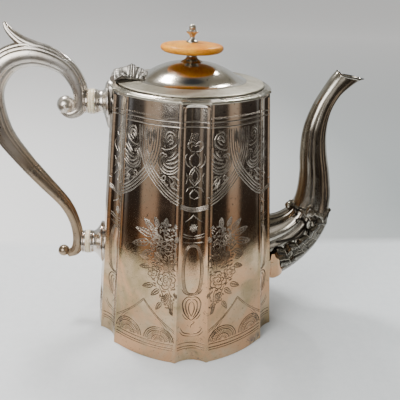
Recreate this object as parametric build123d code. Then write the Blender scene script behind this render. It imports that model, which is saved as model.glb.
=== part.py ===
from build123d import *
import math
import os

# Silver coffee pot with a six-panelled tapering body, a cast scroll handle and a cast swan-neck spout.
# Frame: millimetres, +Z up, origin on the vertical axis of the body in the plane the pot stands on.
# The spout points along +X, the handle along -X.

# ---- body ----
base_rib_radius = 69.6      # rib to axis at the foot
rim_rib_radius = 53.9       # rib to axis at the rim
body_height = 179.5
wall = 1.0
flute_half_angle = 8.7      # degrees from the middle of a flute to its rib
flute_ratio = 0.942         # radius in the middle of a flute over the rib radius
panel_ratio = 0.985         # radius in the middle of a broad panel over the rib radius
panel_count = 6
base_thickness = 1.2

# ---- rim deck and lid ----
deck_rib_radius = 54.4
deck_flute_ratio = 0.968
deck_plate_top = 180.7
deck_step_radius = 50.0
deck_top = 181.6
opening_radius = 47.0
lid_edge = 49.5
lid_thickness = 0.9
lid_profile = [(lid_edge, 182.8), (44, 184.2), (38, 185.5), (32, 187.4), (24, 190.8), (14, 193.7), (0, 194.8)]
bezel_outer = 46.6
bezel_inner = 45.6
bezel_bottom = 177.8

# ---- hinge (axis along Y) ----
hinge_x = -51.8
hinge_z = 184.6
knuckle_radius = 2.0
pin_radius = 0.9
pin_clearance = 0.05
middle_knuckle = 6.0        # length of the lid's knuckle
side_knuckle = 5.8          # length of each of the body's two knuckles
knuckle_gap = 0.2
cover_wall = 1.2
ear_x = (-52.2, -50.1)      # the body leaf's upstand, below its knuckles
lid_leaf_tip = -36.0
lid_leaf_z = (182.0, 186.2)

# ---- leaf over the hinge: a roof with its ridge along Y, from x and z points ----
cover_half_length = 12.0
cover_end = [(-49.6, 187.0), (-39.6, 186.8), (-31.6, 187.6)]
cover_middle = [(-52.2, 188.6), (-39.6, 193.0), (-30.4, 188.8)]
cover_feet = [(-41.2, -38.0, 12.0, 186.7), (-33.5, -31.8, 11.5, 187.0)]    # x from and to, half length, top

# ---- finial ----
stud_radius = 1.5
stud_clearance = 0.05
spool_profile = [(0, 190), (7.2, 190), (7.6, 194.4), (6.6, 196.2), (4.2, 197.6), (3.4, 199.2), (5.0, 201.0),
                 (0, 201.0)]
disc_radius = 21.0
disc_bottom = 201.0
disc_top = 207.7
bud_profile = [(0, 207.7), (3.8, 207.7), (3.6, 209.0), (1.9, 210.4), (1.8, 212.2), (3.5, 214.9), (2.4, 215.8),
               (2.2, 217.6), (0, 219.3)]
stud_foot = 187.4
washer_radius = 5.0
washer_z = (192.4, 193.2)
nut_radius = 3.4            # to its corners
nut_z = (189.9, 192.4)

# ---- handle mounts (axes along X) ----
upper_mount_z = 167.5
lower_mount_z = 60.0
upper_mount_radius = 8.2
lower_mount_radius = 8.6
upper_stops = (-72.3, -69.0, -64.6, -59.4)     # x of the ends of ferrule, insulator and collar
lower_stops = (-79.2, -76.3, -72.8, -70.0)
upper_tenons = (3.3, 4.4)   # lengths of the insulator's tenons, towards the handle and towards the body
lower_tenons = (2.9, 4.0)
tenon_radius = 5.0
cross_pin_radius = 0.7
cross_pin_recess = 0.3
ferrule_room = 0.3          # how far the handle is cut back round a ferrule
flare_radius = 15.5
flare_length = 8.0
plate_outline = [(8.6, 176.0), (9.0, 165.0), (5.0, 156.0), (0.0, 149.5)]    # y and z down the plate's edge
plate_top = 182.0

# ---- handle: x, z and width in its own plane, from the upper scroll end to the lower one ----
handle_route = [
    (-87.5, 161.0, 4.5), (-82.0, 158.6, 6.5), (-76.0, 161.8, 8.0), (-74.2, 169.0, 9.4), (-75.4, 178.5, 10.6),
    (-82.0, 189.3, 11.8), (-92.8, 195.6, 13.8), (-106.0, 197.8, 15.6), (-120.0, 193.2, 16.2),
    (-130.0, 181.0, 16.2), (-132.4, 166.0, 15.0), (-127.6, 145.0, 13.3), (-116.2, 126.2, 11.5),
    (-103.3, 109.2, 10.3), (-90.0, 92.2, 8.6), (-84.0, 78.0, 7.6), (-82.0, 64.0, 7.8), (-84.2, 53.2, 7.6),
    (-90.5, 49.6, 5.6),
]
handle_depth_ratio = 0.86   # depth along Y over the width
handle_stations = 44
upper_ball = (-84.4, 165.0, 6.0)
lower_ball = (-93.4, 52.4, 4.2)
thumb_route = [(-97.0, 198.5, 10.0), (-106.0, 203.0, 7.5), (-113.0, 207.5, 6.6), (-117.2, 212.5, 5.0),
               (-118.9, 216.6, 2.6)]

# ---- spout: x, z, half height in its own plane, half width along Y, direction in degrees above +X ----
spout_sections = [
    (60.0, 53.0, 27.0, 13.0, 8.0), (72.0, 59.0, 24.0, 12.8, 26.0), (84.0, 68.5, 20.0, 12.4, 46.0),
    (92.5, 81.5, 16.0, 11.8, 68.0), (95.2, 97.0, 13.2, 11.0, 88.0), (94.0, 116.0, 10.9, 9.8, 96.0),
    (91.0, 134.0, 9.5, 8.8, 97.0), (90.3, 150.0, 8.3, 7.9, 86.0), (93.3, 165.0, 7.0, 7.0, 70.0),
    (98.6, 176.5, 6.7, 6.6, 58.0), (104.6, 184.6, 7.6, 6.6, 46.0), (112.4, 191.2, 8.0, 6.2, 32.0),
    (121.0, 195.0, 8.2, 5.2, 20.0),
]
spout_wall = 1.3
jacket = 1.6                # how far the cast ornament stands proud of the spout
strainer_hole_radius = 1.75
strainer_pitch = 6.6
strainer_z = 54.0
strainer_rows = 7


def at(x, z, y=0.0):
    return Vector(x, y, z)


def lobed_face(rib_radius, z, flute=flute_ratio):
    """Closed outline of six convex panels divided by six narrow concave flutes."""
    step = 360 / panel_count
    edges = []
    for index in range(panel_count):
        flute_angle = step * (index + 0.5)
        stops = [
            (flute_angle - flute_half_angle, 1.0),
            (flute_angle, flute),
            (flute_angle + flute_half_angle, 1.0),
            (flute_angle + step / 2, panel_ratio),
            (flute_angle + step - flute_half_angle, 1.0),
        ]
        points = [
            Vector(rib_radius * ratio * math.cos(math.radians(angle)),
                   rib_radius * ratio * math.sin(math.radians(angle)), z)
            for angle, ratio in stops
        ]
        edges.append(Edge.make_three_point_arc(points[0], points[1], points[2]))
        edges.append(Edge.make_three_point_arc(points[2], points[3], points[4]))
    return Face(Wire(edges))


def rib_radius_at(z):
    return base_rib_radius + (rim_rib_radius - base_rib_radius) * z / body_height


def body_cone(inset, bottom=0.0, top=body_height):
    """Solid tapering lobed cone, inset from the outer surface of the wall."""
    return Solid.make_loft(
        [lobed_face(rib_radius_at(bottom) - inset, bottom).outer_wire(),
         lobed_face(rib_radius_at(top) - inset, top).outer_wire()], True)


def drum(radius, low, high):
    return Solid.make_cylinder(radius, high - low, Plane(origin=(0, 0, low)))


def rod(radius, start, end):
    """Cylinder between two points."""
    span = Vector(*end) - Vector(*start)
    return Solid.make_cylinder(radius, span.length, Plane(origin=start, z_dir=span))


def block(x_low, x_high, y_low, y_high, z_low, z_high):
    return Solid.make_box(x_high - x_low, y_high - y_low, z_high - z_low, Plane(origin=(x_low, y_low, z_low)))


def turned(points):
    """Solid of revolution about the pot's axis from radius and height points."""
    outline = Wire.make_polygon([at(*point) for point in points], close=True)
    return Solid.revolve(Face(outline), 360, Axis.Z)


def slab_xz(points, half_depth):
    """Prism on an outline in the XZ plane, centred on that plane."""
    outline = Face(Wire.make_polygon([at(x, z, -half_depth) for x, z in points], close=True))
    return Solid.extrude(outline, Vector(0, 2 * half_depth, 0))


def tube_section(x, z, half_height, half_width, direction):
    """Ellipse across the spout or handle, in the plane square to its direction."""
    angle = math.radians(direction)
    forward = Vector(math.cos(angle), 0, math.sin(angle))
    plane = Plane(origin=(x, 0, z), x_dir=(0, 1, 0), z_dir=forward)
    return Wire.make_ellipse(half_width, half_height, plane)


def smooth_tube(route, stations, depth_ratio):
    """Tapering round bar along a smooth route of (x, z, width) in the XZ plane."""
    line = Edge.make_spline([at(x, z) for x, z, width in route])
    stops = [line.param_at_point(at(x, z)) for x, z, width in route]
    sections = []
    for index in range(stations):
        fraction = index / (stations - 1)
        place = line.position_at(fraction)
        forward = line.tangent_at(fraction)
        right = max(1, next((i for i, stop in enumerate(stops) if stop >= fraction), len(stops) - 1))
        blend = (fraction - stops[right - 1]) / (stops[right] - stops[right - 1])
        width = route[right - 1][2] + blend * (route[right][2] - route[right - 1][2])
        direction = math.degrees(math.atan2(forward.Z, forward.X))
        sections.append(tube_section(place.X, place.Z, width / 2, width / 2 * depth_ratio, direction))
    return Solid.make_loft(sections)


def spout_solid(grow, sections=spout_sections):
    return Solid.make_loft([
        tube_section(x, z, half_height + grow, half_width + grow, direction)
        for x, z, half_height, half_width, direction in sections
    ])


def lid_surface(drop):
    """Solid below the lid's outer surface lowered by drop, down to the bezel's foot."""
    points = [at(radius, height - drop) for radius, height in lid_profile]
    top = Edge.make_spline(points)
    low_in = at(0, bezel_bottom)
    low_out = at(lid_edge, bezel_bottom)
    outline = Wire([top, Edge.make_line(points[-1], low_in), Edge.make_line(low_in, low_out),
                    Edge.make_line(low_out, points[0])])
    return Solid.revolve(Face(outline), 360, Axis.Z)


# ---- body ----
def make_body_wall():
    shell = body_cone(0) - body_cone(wall, -1, body_height + 1)
    for row in range(strainer_rows):
        count = 3 + row % 2
        z = strainer_z + (row - (strainer_rows - 1) / 2) * strainer_pitch * math.sin(math.radians(60))
        for column in range(count):
            y = (column - (count - 1) / 2) * strainer_pitch
            shell -= rod(strainer_hole_radius, (rim_rib_radius, y, z), (base_rib_radius + 1, y, z))
    return shell


def make_base_plate():
    return body_cone(wall, -1, body_height) & block(-80, 80, -80, 80, 0, base_thickness)


def make_rim_deck():
    height = deck_plate_top - body_height
    plate = Solid.extrude(lobed_face(deck_rib_radius, body_height, deck_flute_ratio), Vector(0, 0, height))
    deck = plate + drum(deck_step_radius, deck_plate_top, deck_top)
    return deck - drum(opening_radius, body_height - 1, deck_top + 1)


# ---- spout ----
spout_joint_z = 97.0        # where the elbow meets the neck, under the leaf collar
spout_before = (54.0, 52.2, 27.0, 13.0, 6.0)        # a section inside the body, so that the bore runs through
spout_beyond = (128.0, 196.0, 8.2, 4.6, 10.0)       # a section past the lip, likewise
mouth_cut = [(101.4, 191.3), (104.9, 188.6), (123.4, 185.9), (140, 186), (140, 215), (98, 215)]
shield_zone = [(40, 15), (90, 15), (90, 40), (76, 51), (40, 51)]
acanthus_zone = [(40, 52), (76, 52), (90.5, 40.5), (120, 40), (120, 91), (97, 91), (85, 76), (70, 62),
                 (40, 58)]
collar_zone = [(70, 92), (97, 92.5), (120, 92.5), (120, 97), (97, 99), (70, 101)]


def make_spout():
    """The hollow spout in two castings, the elbow and the neck."""
    bore = spout_solid(-spout_wall, [spout_before] + spout_sections + [spout_beyond])
    tube = spout_solid(0) - bore - slab_xz(mouth_cut, 20) - body_cone(0)
    elbow = tube & block(0, 150, -30, 30, 0, spout_joint_z)
    neck = tube & block(0, 150, -30, 30, spout_joint_z, 250)
    return elbow, neck


def make_jacket_piece(zone):
    """Part of the cast ornament: a skin over the lower spout, cut to its zone."""
    skin = spout_solid(jacket, spout_sections[:7]) - spout_solid(0)
    return (skin & slab_xz(zone, 30)) - body_cone(0)


# ---- handle and its mounts ----
def make_handle():
    bar = smooth_tube(handle_route, handle_stations, handle_depth_ratio)
    for x, z, radius in (upper_ball, lower_ball):
        bar += Solid.make_sphere(radius, Plane(origin=(x, 0, z)))
    for stops, z, radius in ((upper_stops, upper_mount_z, upper_mount_radius + ferrule_room),
                             (lower_stops, lower_mount_z, lower_mount_radius + ferrule_room)):
        bar -= rod(radius, (stops[0], 0, z), (stops[3], 0, z))
    return bar


def make_thumb_rest(handle):
    return smooth_tube(thumb_route, 9, 0.9) - handle


def cross_pin(x, z, radius):
    """Pin along Y through a round piece, its ends just below the surface."""
    reach = radius - cross_pin_recess
    return rod(cross_pin_radius, (x, -reach, z), (x, reach, z))


def pin_places(stops, tenons):
    return stops[1] - tenons[0] / 2, stops[2] + tenons[1] / 2


def make_ferrule(stops, tenons, z, radius):
    start, end = (stops[0], 0, z), (stops[1], 0, z)
    ring = rod(radius, start, end) - rod(tenon_radius, start, end)
    return ring - cross_pin(pin_places(stops, tenons)[0], z, radius)


def make_insulator(stops, tenons, z, radius):
    body = rod(radius, (stops[1], 0, z), (stops[2], 0, z))
    body += rod(tenon_radius, (stops[1] - tenons[0], 0, z), (stops[2] + tenons[1], 0, z))
    for x in pin_places(stops, tenons):
        body -= cross_pin(x, z, radius)
    return body


def socket_collar(stops, z, radius):
    return rod(radius, (stops[2], 0, z), (stops[3], 0, z))


def bored(socket, stops, tenons, z, radius):
    """A socket with the hole for the insulator's tenon and for the pin across it."""
    socket -= rod(tenon_radius, (stops[2], 0, z), (stops[2] + tenons[1], 0, z))
    return socket - cross_pin(pin_places(stops, tenons)[1], z, radius)


def make_upper_socket():
    """Collar on a rounded plate with a pointed drop below it."""
    x = upper_stops[3]
    right = [Vector(x, y, z) for y, z in plate_outline]
    left = [Vector(x, -y, z) for y, z in reversed(plate_outline)]
    outline = Wire([
        Edge.make_three_point_arc(left[-1], Vector(x, 0, plate_top), right[0]),
        Edge.make_spline(right),
        Edge.make_spline(left),
    ])
    plate = Solid.extrude(Face(outline), Vector(12, 0, 0))
    socket = plate + socket_collar(upper_stops, upper_mount_z, upper_mount_radius)
    socket = bored(socket, upper_stops, upper_tenons, upper_mount_z, upper_mount_radius)
    socket -= Solid.extrude(lobed_face(deck_rib_radius, body_height - 0.2, deck_flute_ratio), Vector(0, 0, 6))
    return socket - body_cone(0)


def make_lower_socket():
    """Collar on a cone that flares out to the wall."""
    foot = Plane(origin=(lower_stops[3], 0, lower_mount_z), z_dir=(1, 0, 0))
    socket = Solid.make_cone(lower_mount_radius, flare_radius, flare_length, foot)
    socket += socket_collar(lower_stops, lower_mount_z, lower_mount_radius)
    socket = bored(socket, lower_stops, lower_tenons, lower_mount_z, lower_mount_radius)
    return socket - body_cone(0)


def make_cross_pins():
    mounts = [(upper_stops, upper_tenons, upper_mount_z, upper_mount_radius),
              (lower_stops, lower_tenons, lower_mount_z, lower_mount_radius)]
    return Compound(children=[
        cross_pin(x, z, radius) for stops, tenons, z, radius in mounts for x in pin_places(stops, tenons)])


# ---- hinge ----
def knuckle(y_low, y_high, radius=knuckle_radius):
    return rod(radius, (hinge_x, y_low, hinge_z), (hinge_x, y_high, hinge_z))


side_start = middle_knuckle / 2 + knuckle_gap
side_end = side_start + side_knuckle


def make_hinge_body_leaf():
    leaf = None
    for side in (-1, 1):
        y_low, y_high = sorted((side * side_start, side * side_end))
        ear = knuckle(y_low, y_high) + block(*ear_x, y_low, y_high, deck_plate_top, hinge_z)
        leaf = ear if leaf is None else leaf + ear
    leaf += block(*ear_x, -side_end, side_end, deck_plate_top, deck_top)
    return leaf - knuckle(-side_end - 1, side_end + 1, pin_radius)


def make_hinge_lid_leaf():
    half = middle_knuckle / 2
    leaf = knuckle(-half, half) + block(hinge_x, lid_leaf_tip, -half, half, *lid_leaf_z)
    leaf -= knuckle(-half - 1, half + 1, pin_radius + pin_clearance)
    return leaf - lid_surface(0) - block(-60, -49, -5, 5, 180, hinge_z - knuckle_radius)


def make_hinge_pin():
    return knuckle(-side_end, side_end, pin_radius)


def roof_wire(y, outer):
    """Outline of the cover across its ridge: two sloping sides of even thickness."""
    inner = [(x, z - cover_wall) for x, z in reversed(outer)]
    return Wire.make_polygon([at(x, z, y) for x, z in outer + inner], close=True)


def make_hinge_cover():
    front = roof_wire(-cover_half_length, cover_end)
    middle = roof_wire(0, cover_middle)
    back = roof_wire(cover_half_length, cover_end)
    cover = Solid.make_loft([front, middle], True) + Solid.make_loft([middle, back], True)
    for x_low, x_high, half, top in cover_feet:
        for y_low, y_high in ((-half, 2 - cover_half_length), (cover_half_length - 2, half)):
            cover += block(x_low, x_high, y_low, y_high, 184, top)
    return cover - lid_surface(0)


# ---- lid and finial ----
def make_lid_shell():
    shell = lid_surface(0) - lid_surface(lid_thickness)
    shell -= drum(60, bezel_bottom - 2, lid_profile[0][1] - lid_thickness)
    return shell - drum(stud_radius + stud_clearance, 180, 200)


def make_lid_bezel():
    ring = drum(bezel_outer, bezel_bottom, 186) - drum(bezel_inner, bezel_bottom - 1, 187)
    return ring & lid_surface(lid_thickness)


def make_finial_base():
    return turned(spool_profile) - lid_surface(0) - drum(stud_radius + stud_clearance, 180, 210)


def make_finial_disc():
    middle = (disc_bottom + disc_top) / 2
    edge = Wire([
        Edge.make_line(at(0, disc_bottom), at(6, disc_bottom)),
        Edge.make_spline([at(6, disc_bottom), at(15, disc_bottom + 0.8), at(disc_radius, middle),
                          at(15, disc_top - 0.6), at(6, disc_top)]),
        Edge.make_line(at(6, disc_top), at(0, disc_top)),
        Edge.make_line(at(0, disc_top), at(0, disc_bottom)),
    ])
    return Solid.revolve(Face(edge), 360, Axis.Z) - drum(stud_radius + stud_clearance, 195, 215)


def make_finial_bud():
    return turned(bud_profile) + drum(stud_radius, stud_foot, disc_top + 0.5)


def make_finial_washer():
    return drum(washer_radius, *washer_z) - drum(stud_radius + stud_clearance, 190, 195)


def make_finial_nut():
    corners = []
    for index in range(6):
        angle = math.radians(60 * index)
        corners.append(Vector(nut_radius * math.cos(angle), nut_radius * math.sin(angle), nut_z[0]))
    outline = Face(Wire.make_polygon(corners, close=True))
    return Solid.extrude(outline, Vector(0, 0, nut_z[1] - nut_z[0])) - drum(stud_radius, 189, 194)


def main():
    os.makedirs("parts", exist_ok=True)
    handle = make_handle()
    elbow, neck = make_spout()
    upper = (upper_stops, upper_tenons, upper_mount_z, upper_mount_radius)
    lower = (lower_stops, lower_tenons, lower_mount_z, lower_mount_radius)
    parts = {
        "body_wall": make_body_wall(),
        "base_plate": make_base_plate(),
        "rim_deck": make_rim_deck(),
        "spout_elbow": elbow,
        "spout_neck": neck,
        "spout_shield": make_jacket_piece(shield_zone),
        "spout_acanthus": make_jacket_piece(acanthus_zone),
        "spout_collar": make_jacket_piece(collar_zone),
        "handle_scroll": handle,
        "thumb_rest": make_thumb_rest(handle),
        "upper_ferrule": make_ferrule(*upper),
        "lower_ferrule": make_ferrule(*lower),
        "upper_insulator": make_insulator(*upper),
        "lower_insulator": make_insulator(*lower),
        "upper_socket": make_upper_socket(),
        "lower_socket": make_lower_socket(),
        "cross_pins": make_cross_pins(),
        "hinge_body_leaf": make_hinge_body_leaf(),
        "hinge_lid_leaf": make_hinge_lid_leaf(),
        "hinge_pin": make_hinge_pin(),
        "hinge_cover": make_hinge_cover(),
        "lid_shell": make_lid_shell(),
        "lid_bezel": make_lid_bezel(),
        "finial_base": make_finial_base(),
        "finial_disc": make_finial_disc(),
        "finial_bud": make_finial_bud(),
        "finial_washer": make_finial_washer(),
        "finial_nut": make_finial_nut(),
    }
    for name, shape in parts.items():
        export_step(shape, f"parts/{name}.step")


main()
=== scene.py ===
import math
import random

import bpy
import numpy as np
from mathutils import Matrix, Vector


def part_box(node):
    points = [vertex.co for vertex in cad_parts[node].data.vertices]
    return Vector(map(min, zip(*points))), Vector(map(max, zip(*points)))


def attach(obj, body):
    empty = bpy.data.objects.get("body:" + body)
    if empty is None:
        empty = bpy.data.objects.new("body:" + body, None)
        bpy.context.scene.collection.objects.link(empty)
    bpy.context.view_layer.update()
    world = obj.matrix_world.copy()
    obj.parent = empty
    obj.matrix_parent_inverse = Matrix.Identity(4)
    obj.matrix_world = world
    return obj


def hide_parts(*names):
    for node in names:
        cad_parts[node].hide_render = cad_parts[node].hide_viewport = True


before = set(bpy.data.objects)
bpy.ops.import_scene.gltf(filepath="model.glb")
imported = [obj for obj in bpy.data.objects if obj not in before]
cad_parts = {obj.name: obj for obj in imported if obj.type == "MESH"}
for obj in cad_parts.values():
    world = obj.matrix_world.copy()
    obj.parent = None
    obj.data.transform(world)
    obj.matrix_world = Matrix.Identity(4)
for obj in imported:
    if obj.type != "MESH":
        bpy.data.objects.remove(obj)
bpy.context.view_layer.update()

MM = 0.001
PANELS = 6
SECTOR = 2 * math.pi / PANELS
FLUTE_HALF = math.radians(8.7)      # half the angle that a flute takes up
FLUTE_RATIO = 0.942                 # radius in the middle of a flute over the rib radius
PANEL_RATIO = 0.985                 # radius in the middle of a panel over the rib radius
WALL_SHEET = 1.0 * MM               # thickness of the wall
RIB_BEAD = 0.0085                   # how far a rib stands out, over the rib radius
RIB_BEAD_SHIFT, RIB_BEAD_WIDTH = 0.012, 0.020   # radians beside the flute's edge
ARCH_DROP = 2.6 * MM                # how far the flute's round top falls towards its edges
ARCH_FADE = 2.4 * MM                # height over which a flute gets shallow under its top
CURVE_STEPS = 24                    # steps between two control rows of a smooth curve

wall_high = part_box("body_wall")[1]
deck_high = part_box("rim_deck")[1]
WALL_TOP = wall_high.z
BASE_RIB = wall_high.y / math.cos(FLUTE_HALF)
RIM_RIB = deck_high.y / math.cos(FLUTE_HALF) - 0.5 * MM


# ---------------------------------------------------------------- mesh helpers
def make_object(name, points, faces, smooth=True):
    mesh = bpy.data.meshes.new(name)
    mesh.from_pydata([tuple(p) for p in points], [], [tuple(f) for f in faces])
    mesh.polygons.foreach_set("use_smooth", [smooth] * len(mesh.polygons))
    mesh.validate()
    mesh.update()
    made = bpy.data.objects.new(name, mesh)
    bpy.context.scene.collection.objects.link(made)
    return made


def grid_faces(rows, columns, wrap_columns=False, wrap_rows=False, flip=False, start=0):
    """Quads of a rows by columns grid of points, closed round either way if asked."""
    faces = []
    for i in range(rows if wrap_rows else rows - 1):
        for j in range(columns if wrap_columns else columns - 1):
            a = i * columns + j
            b = i * columns + (j + 1) % columns
            c = ((i + 1) % rows) * columns + (j + 1) % columns
            d = ((i + 1) % rows) * columns + j
            quad = (d, c, b, a) if flip else (a, b, c, d)
            faces.append(tuple(start + k for k in quad))
    return faces


def end_caps(count, around):
    """Faces that close both ends of a tube of count points in rings of around points."""
    return [tuple(range(around)), tuple(reversed(range(count - around, count)))]


def finish_piece(piece, body, slot, material, *nodes):
    piece.data.materials.clear()
    piece.data.materials.append(material)
    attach(piece, body)
    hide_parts(*nodes)


def smooth_path(control, count):
    """Points evenly spread along a Catmull-Rom curve through the control rows."""
    rows = np.array(control, float)
    rows = np.vstack([2 * rows[0] - rows[1], rows, 2 * rows[-1] - rows[-2]])
    made = []
    for k in range(1, len(rows) - 2):
        p0, p1, p2, p3 = rows[k - 1:k + 3]
        for t in np.linspace(0, 1, CURVE_STEPS, endpoint=False):
            made.append(0.5 * (2 * p1 + (p2 - p0) * t + (2 * p0 - 5 * p1 + 4 * p2 - p3) * t ** 2
                               + (3 * p1 - p0 - 3 * p2 + p3) * t ** 3))
    made.append(rows[-2])
    made = np.array(made)
    travel = np.concatenate([[0], np.cumsum(np.linalg.norm(np.diff(made[:, :2], axis=0), axis=1))])
    wanted = np.linspace(0, travel[-1], count)
    return np.stack([np.interp(wanted, travel, made[:, c]) for c in range(made.shape[1])], axis=1)


def directions(line):
    """Unit vectors along a line of points."""
    along = np.gradient(line, axis=0)
    return along / np.linalg.norm(along, axis=1)[:, None]


def sweep(name, path, shape, around):
    """Bar along a path of x, z, half height, half width. shape(phi) scales the section's radius."""
    place = np.stack([path[:, 0], np.zeros(len(path)), path[:, 1]], axis=1)
    forward = directions(place)
    outward = np.stack([-forward[:, 2], np.zeros(len(path)), forward[:, 0]], axis=1)
    points = []
    for i, row in enumerate(path):
        for phi in np.linspace(0, 2 * np.pi, around, endpoint=False):
            high = outward[i] * (row[2] * shape(phi) * math.cos(phi))
            wide = np.array([0, row[3] * shape(phi) * math.sin(phi), 0])
            points.append(place[i] + high + wide)
    faces = grid_faces(len(path), around, wrap_columns=True) + end_caps(len(points), around)
    return make_object(name, points, faces)


def round_point(radius, angle, height):
    return (radius * math.cos(angle), radius * math.sin(angle), height)


def folded(phi):
    """Angle from 0 to pi, the same on both sides of a section."""
    return abs(math.atan2(math.sin(phi), math.cos(phi)))


def gauss(value, middle, width):
    return math.exp(-((value - middle) / width) ** 2)


def clamped(value):
    return min(1.0, max(0.0, value))


def lathe(name, profile, around, centre=(0, 0), swell=None):
    """Turned piece about a vertical axis. swell(angle, row) scales the radius."""
    points = []
    for i, (radius, height) in enumerate(profile):
        for j in range(around):
            angle = 2 * math.pi * j / around
            grown = radius * (swell(angle, i / (len(profile) - 1)) if swell else 1)
            x, y, z = round_point(grown, angle, height)
            points.append((centre[0] + x, centre[1] + y, z))
    return make_object(name, points, grid_faces(len(profile), around, wrap_columns=True))


def turned(name, profile, count, around, centre=(0, 0), swell=None, base=0.0):
    """Turned piece with a smooth profile of radius and height in mm above the base."""
    rows = [(r * MM, base + z * MM) for r, z in smooth_path(profile, count)]
    return lathe(name, rows, around, centre, swell)


def lay_down(made, place, axis):
    """Turns an upright piece a quarter round the X or Y axis and puts it at a place in mm."""
    place = Matrix.Translation([value * MM for value in place])
    made.data.transform(place @ Matrix.Rotation(math.pi / 2, 4, axis))
    return made


def join(name, pieces):
    bpy.ops.object.select_all(action="DESELECT")
    for piece in pieces:
        piece.select_set(True)
    bpy.context.view_layer.objects.active = pieces[0]
    bpy.ops.object.join()
    pieces[0].name = name
    return pieces[0]


# ---------------------------------------------------------------- materials
RELIEF = 0.0004                     # metres, height of every bump pattern
SCRATCH_GRAIN = ((1, 1, 6), (0.5, 0.3, 0.2))    # stretch and turn of the fine scratches
BARE_METAL = (0.10, 0.095, 0.11)


class NodeTree:
    """Adds nodes to a material or world. An input takes a plain value or another node's output."""

    def __init__(self, owner):
        owner.use_nodes = True
        self.nodes = owner.node_tree.nodes
        self.links = owner.node_tree.links

    def feed(self, node, inputs):
        for key, value in inputs.items():
            socket = node.inputs[key]
            if isinstance(value, bpy.types.NodeSocket):
                self.links.new(value, socket)
            elif socket.type == "RGBA":
                socket.default_value = (*value, 1)
            else:
                socket.default_value = value

    def add(self, kind, inputs, **settings):
        node = self.nodes.new("ShaderNode" + kind)
        for key, value in settings.items():
            setattr(node, key, value)
        self.feed(node, inputs)
        return node

    def surface(self, inputs):
        self.feed(self.nodes["Principled BSDF"], inputs)

    def place(self):
        return self.add("TexCoord", {}).outputs["Object"]

    def split(self, vector):
        return self.add("SeparateXYZ", {0: vector}).outputs

    def stretch(self, vector, scale, rotation=(0, 0, 0)):
        return self.add("Mapping", {"Vector": vector, "Scale": scale, "Rotation": rotation}).outputs[0]

    def noise(self, vector, scale, detail=4.0, rough=0.55, distort=0.0):
        values = {"Vector": vector, "Scale": scale, "Detail": detail, "Roughness": rough,
                  "Distortion": distort}
        return self.add("TexNoise", values).outputs["Fac"]

    def ramp(self, source, stops):
        node = self.add("ValToRGB", {"Fac": source})
        elements = node.color_ramp.elements
        while len(elements) < len(stops):
            elements.new(0.5)
        for element, (position, colour) in zip(elements, stops):
            element.position = position
            element.color = (*colour, 1)
        return node.outputs["Color"]

    def mask(self, source, low, high, start=0.0, stop=1.0):
        """Grey that runs from start, at low, to stop, at high."""
        return self.ramp(source, [(low, (start,) * 3), (high, (stop,) * 3)])

    def spread(self, source, low, high, start=0.0, stop=1.0):
        """The same as a number, and low may lie above high."""
        values = {"Value": source, "From Min": low, "From Max": high, "To Min": start, "To Max": stop}
        return self.add("MapRange", values).outputs[0]

    def mix(self, factor, first, second):
        values = {"Factor": factor, "A": first, "B": second}
        return self.add("Mix", values, data_type="RGBA").outputs["Result"]

    def calc(self, operation, *values):
        return self.add("Math", dict(enumerate(values)), operation=operation).outputs[0]

    def bump(self, height, strength):
        values = {"Height": height, "Strength": strength, "Distance": RELIEF}
        return self.add("Bump", values).outputs["Normal"]


def new_material(name):
    material = bpy.data.materials.new(name)
    return material, NodeTree(material)


def low_tarnish_and_painted_reflection(tree, place, colour, low, high, tints):
    """Turns a colour to three mottled tints below a height, with spots of bare metal along the foot. The low
    tints are partly tarnish and partly a painted reflection: they dim and brown what the lower metal mirrors
    of the floor.
    """
    height = tree.split(place)["Z"]
    wander = tree.calc("MULTIPLY_ADD", tree.noise(place, 22, 4), 0.05, height)
    patches = tree.mask(tree.noise(place, 34, 5, 0.6, 0.8), 0.40, 0.62)
    orange_mottle = tree.mask(tree.noise(place, 19, 5, 0.65, 1.2), 0.42, 0.56, 0, 0.9)
    warm = tree.mix(orange_mottle, tree.mix(patches, tints[0], tints[1]), tints[2])
    # partly tarnish and partly painted reflection: below the given heights the metal turns to the tints,
    # standing in for a darker, browner floor in its reflection
    colour = tree.mix(tree.spread(wander, low, high, 1, 0), colour, warm)
    foot = tree.spread(height, 0.009, 0.002)
    loss = tree.mask(tree.noise(place, 30, 6, 0.7, 1.0), 0.56, 0.60, 0, 0.9)
    return tree.mix(tree.calc("MULTIPLY", foot, loss), colour, BARE_METAL)


def silver(name, clean, tarnish, hollow, rough, bump, blotch, tarnish_and_shade_cavity=(0.455, 0.5), low_tint_and_reflection=None):
    """Plated metal: clean metal, tarnish in blotches, dark hollows that are partly tarnish and partly
    painted shade, fine scratches and uneven polish.
    """
    material, tree = new_material(name)
    place = tree.place()
    blotches = tree.mask(tree.noise(place, blotch, 6, 0.62, 0.4), 0.42, 0.68)
    colour = tree.mix(blotches, clean, tarnish)
    if low_tint_and_reflection:
        colour = low_tarnish_and_painted_reflection(tree, place, colour, *low_tint_and_reflection)
    pointed = tree.add("NewGeometry", {}).outputs["Pointiness"]
    # partly tarnish and partly painted shade: hollows found by pointiness are darkened
    colour = tree.mix(tree.mask(pointed, *tarnish_and_shade_cavity), hollow, colour)
    specks = tree.mask(tree.noise(place, 420, 3, 0.7), 0.30, 0.40, 0.35, 1)
    colour = tree.mix(specks, hollow, colour)
    dull = tree.spread(tree.noise(place, 55, 5, 0.6), 0.3, 0.7, *rough)
    scratch = tree.noise(tree.stretch(place, *SCRATCH_GRAIN), 900, 2, 0.5)
    relief = tree.calc("MULTIPLY_ADD", tree.noise(place, 38, 2, 0.4), 6.0, scratch)
    tree.surface({"Base Color": colour, "Metallic": 1.0, "Roughness": dull,
                  "Normal": tree.bump(relief, bump)})
    return material


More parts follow.
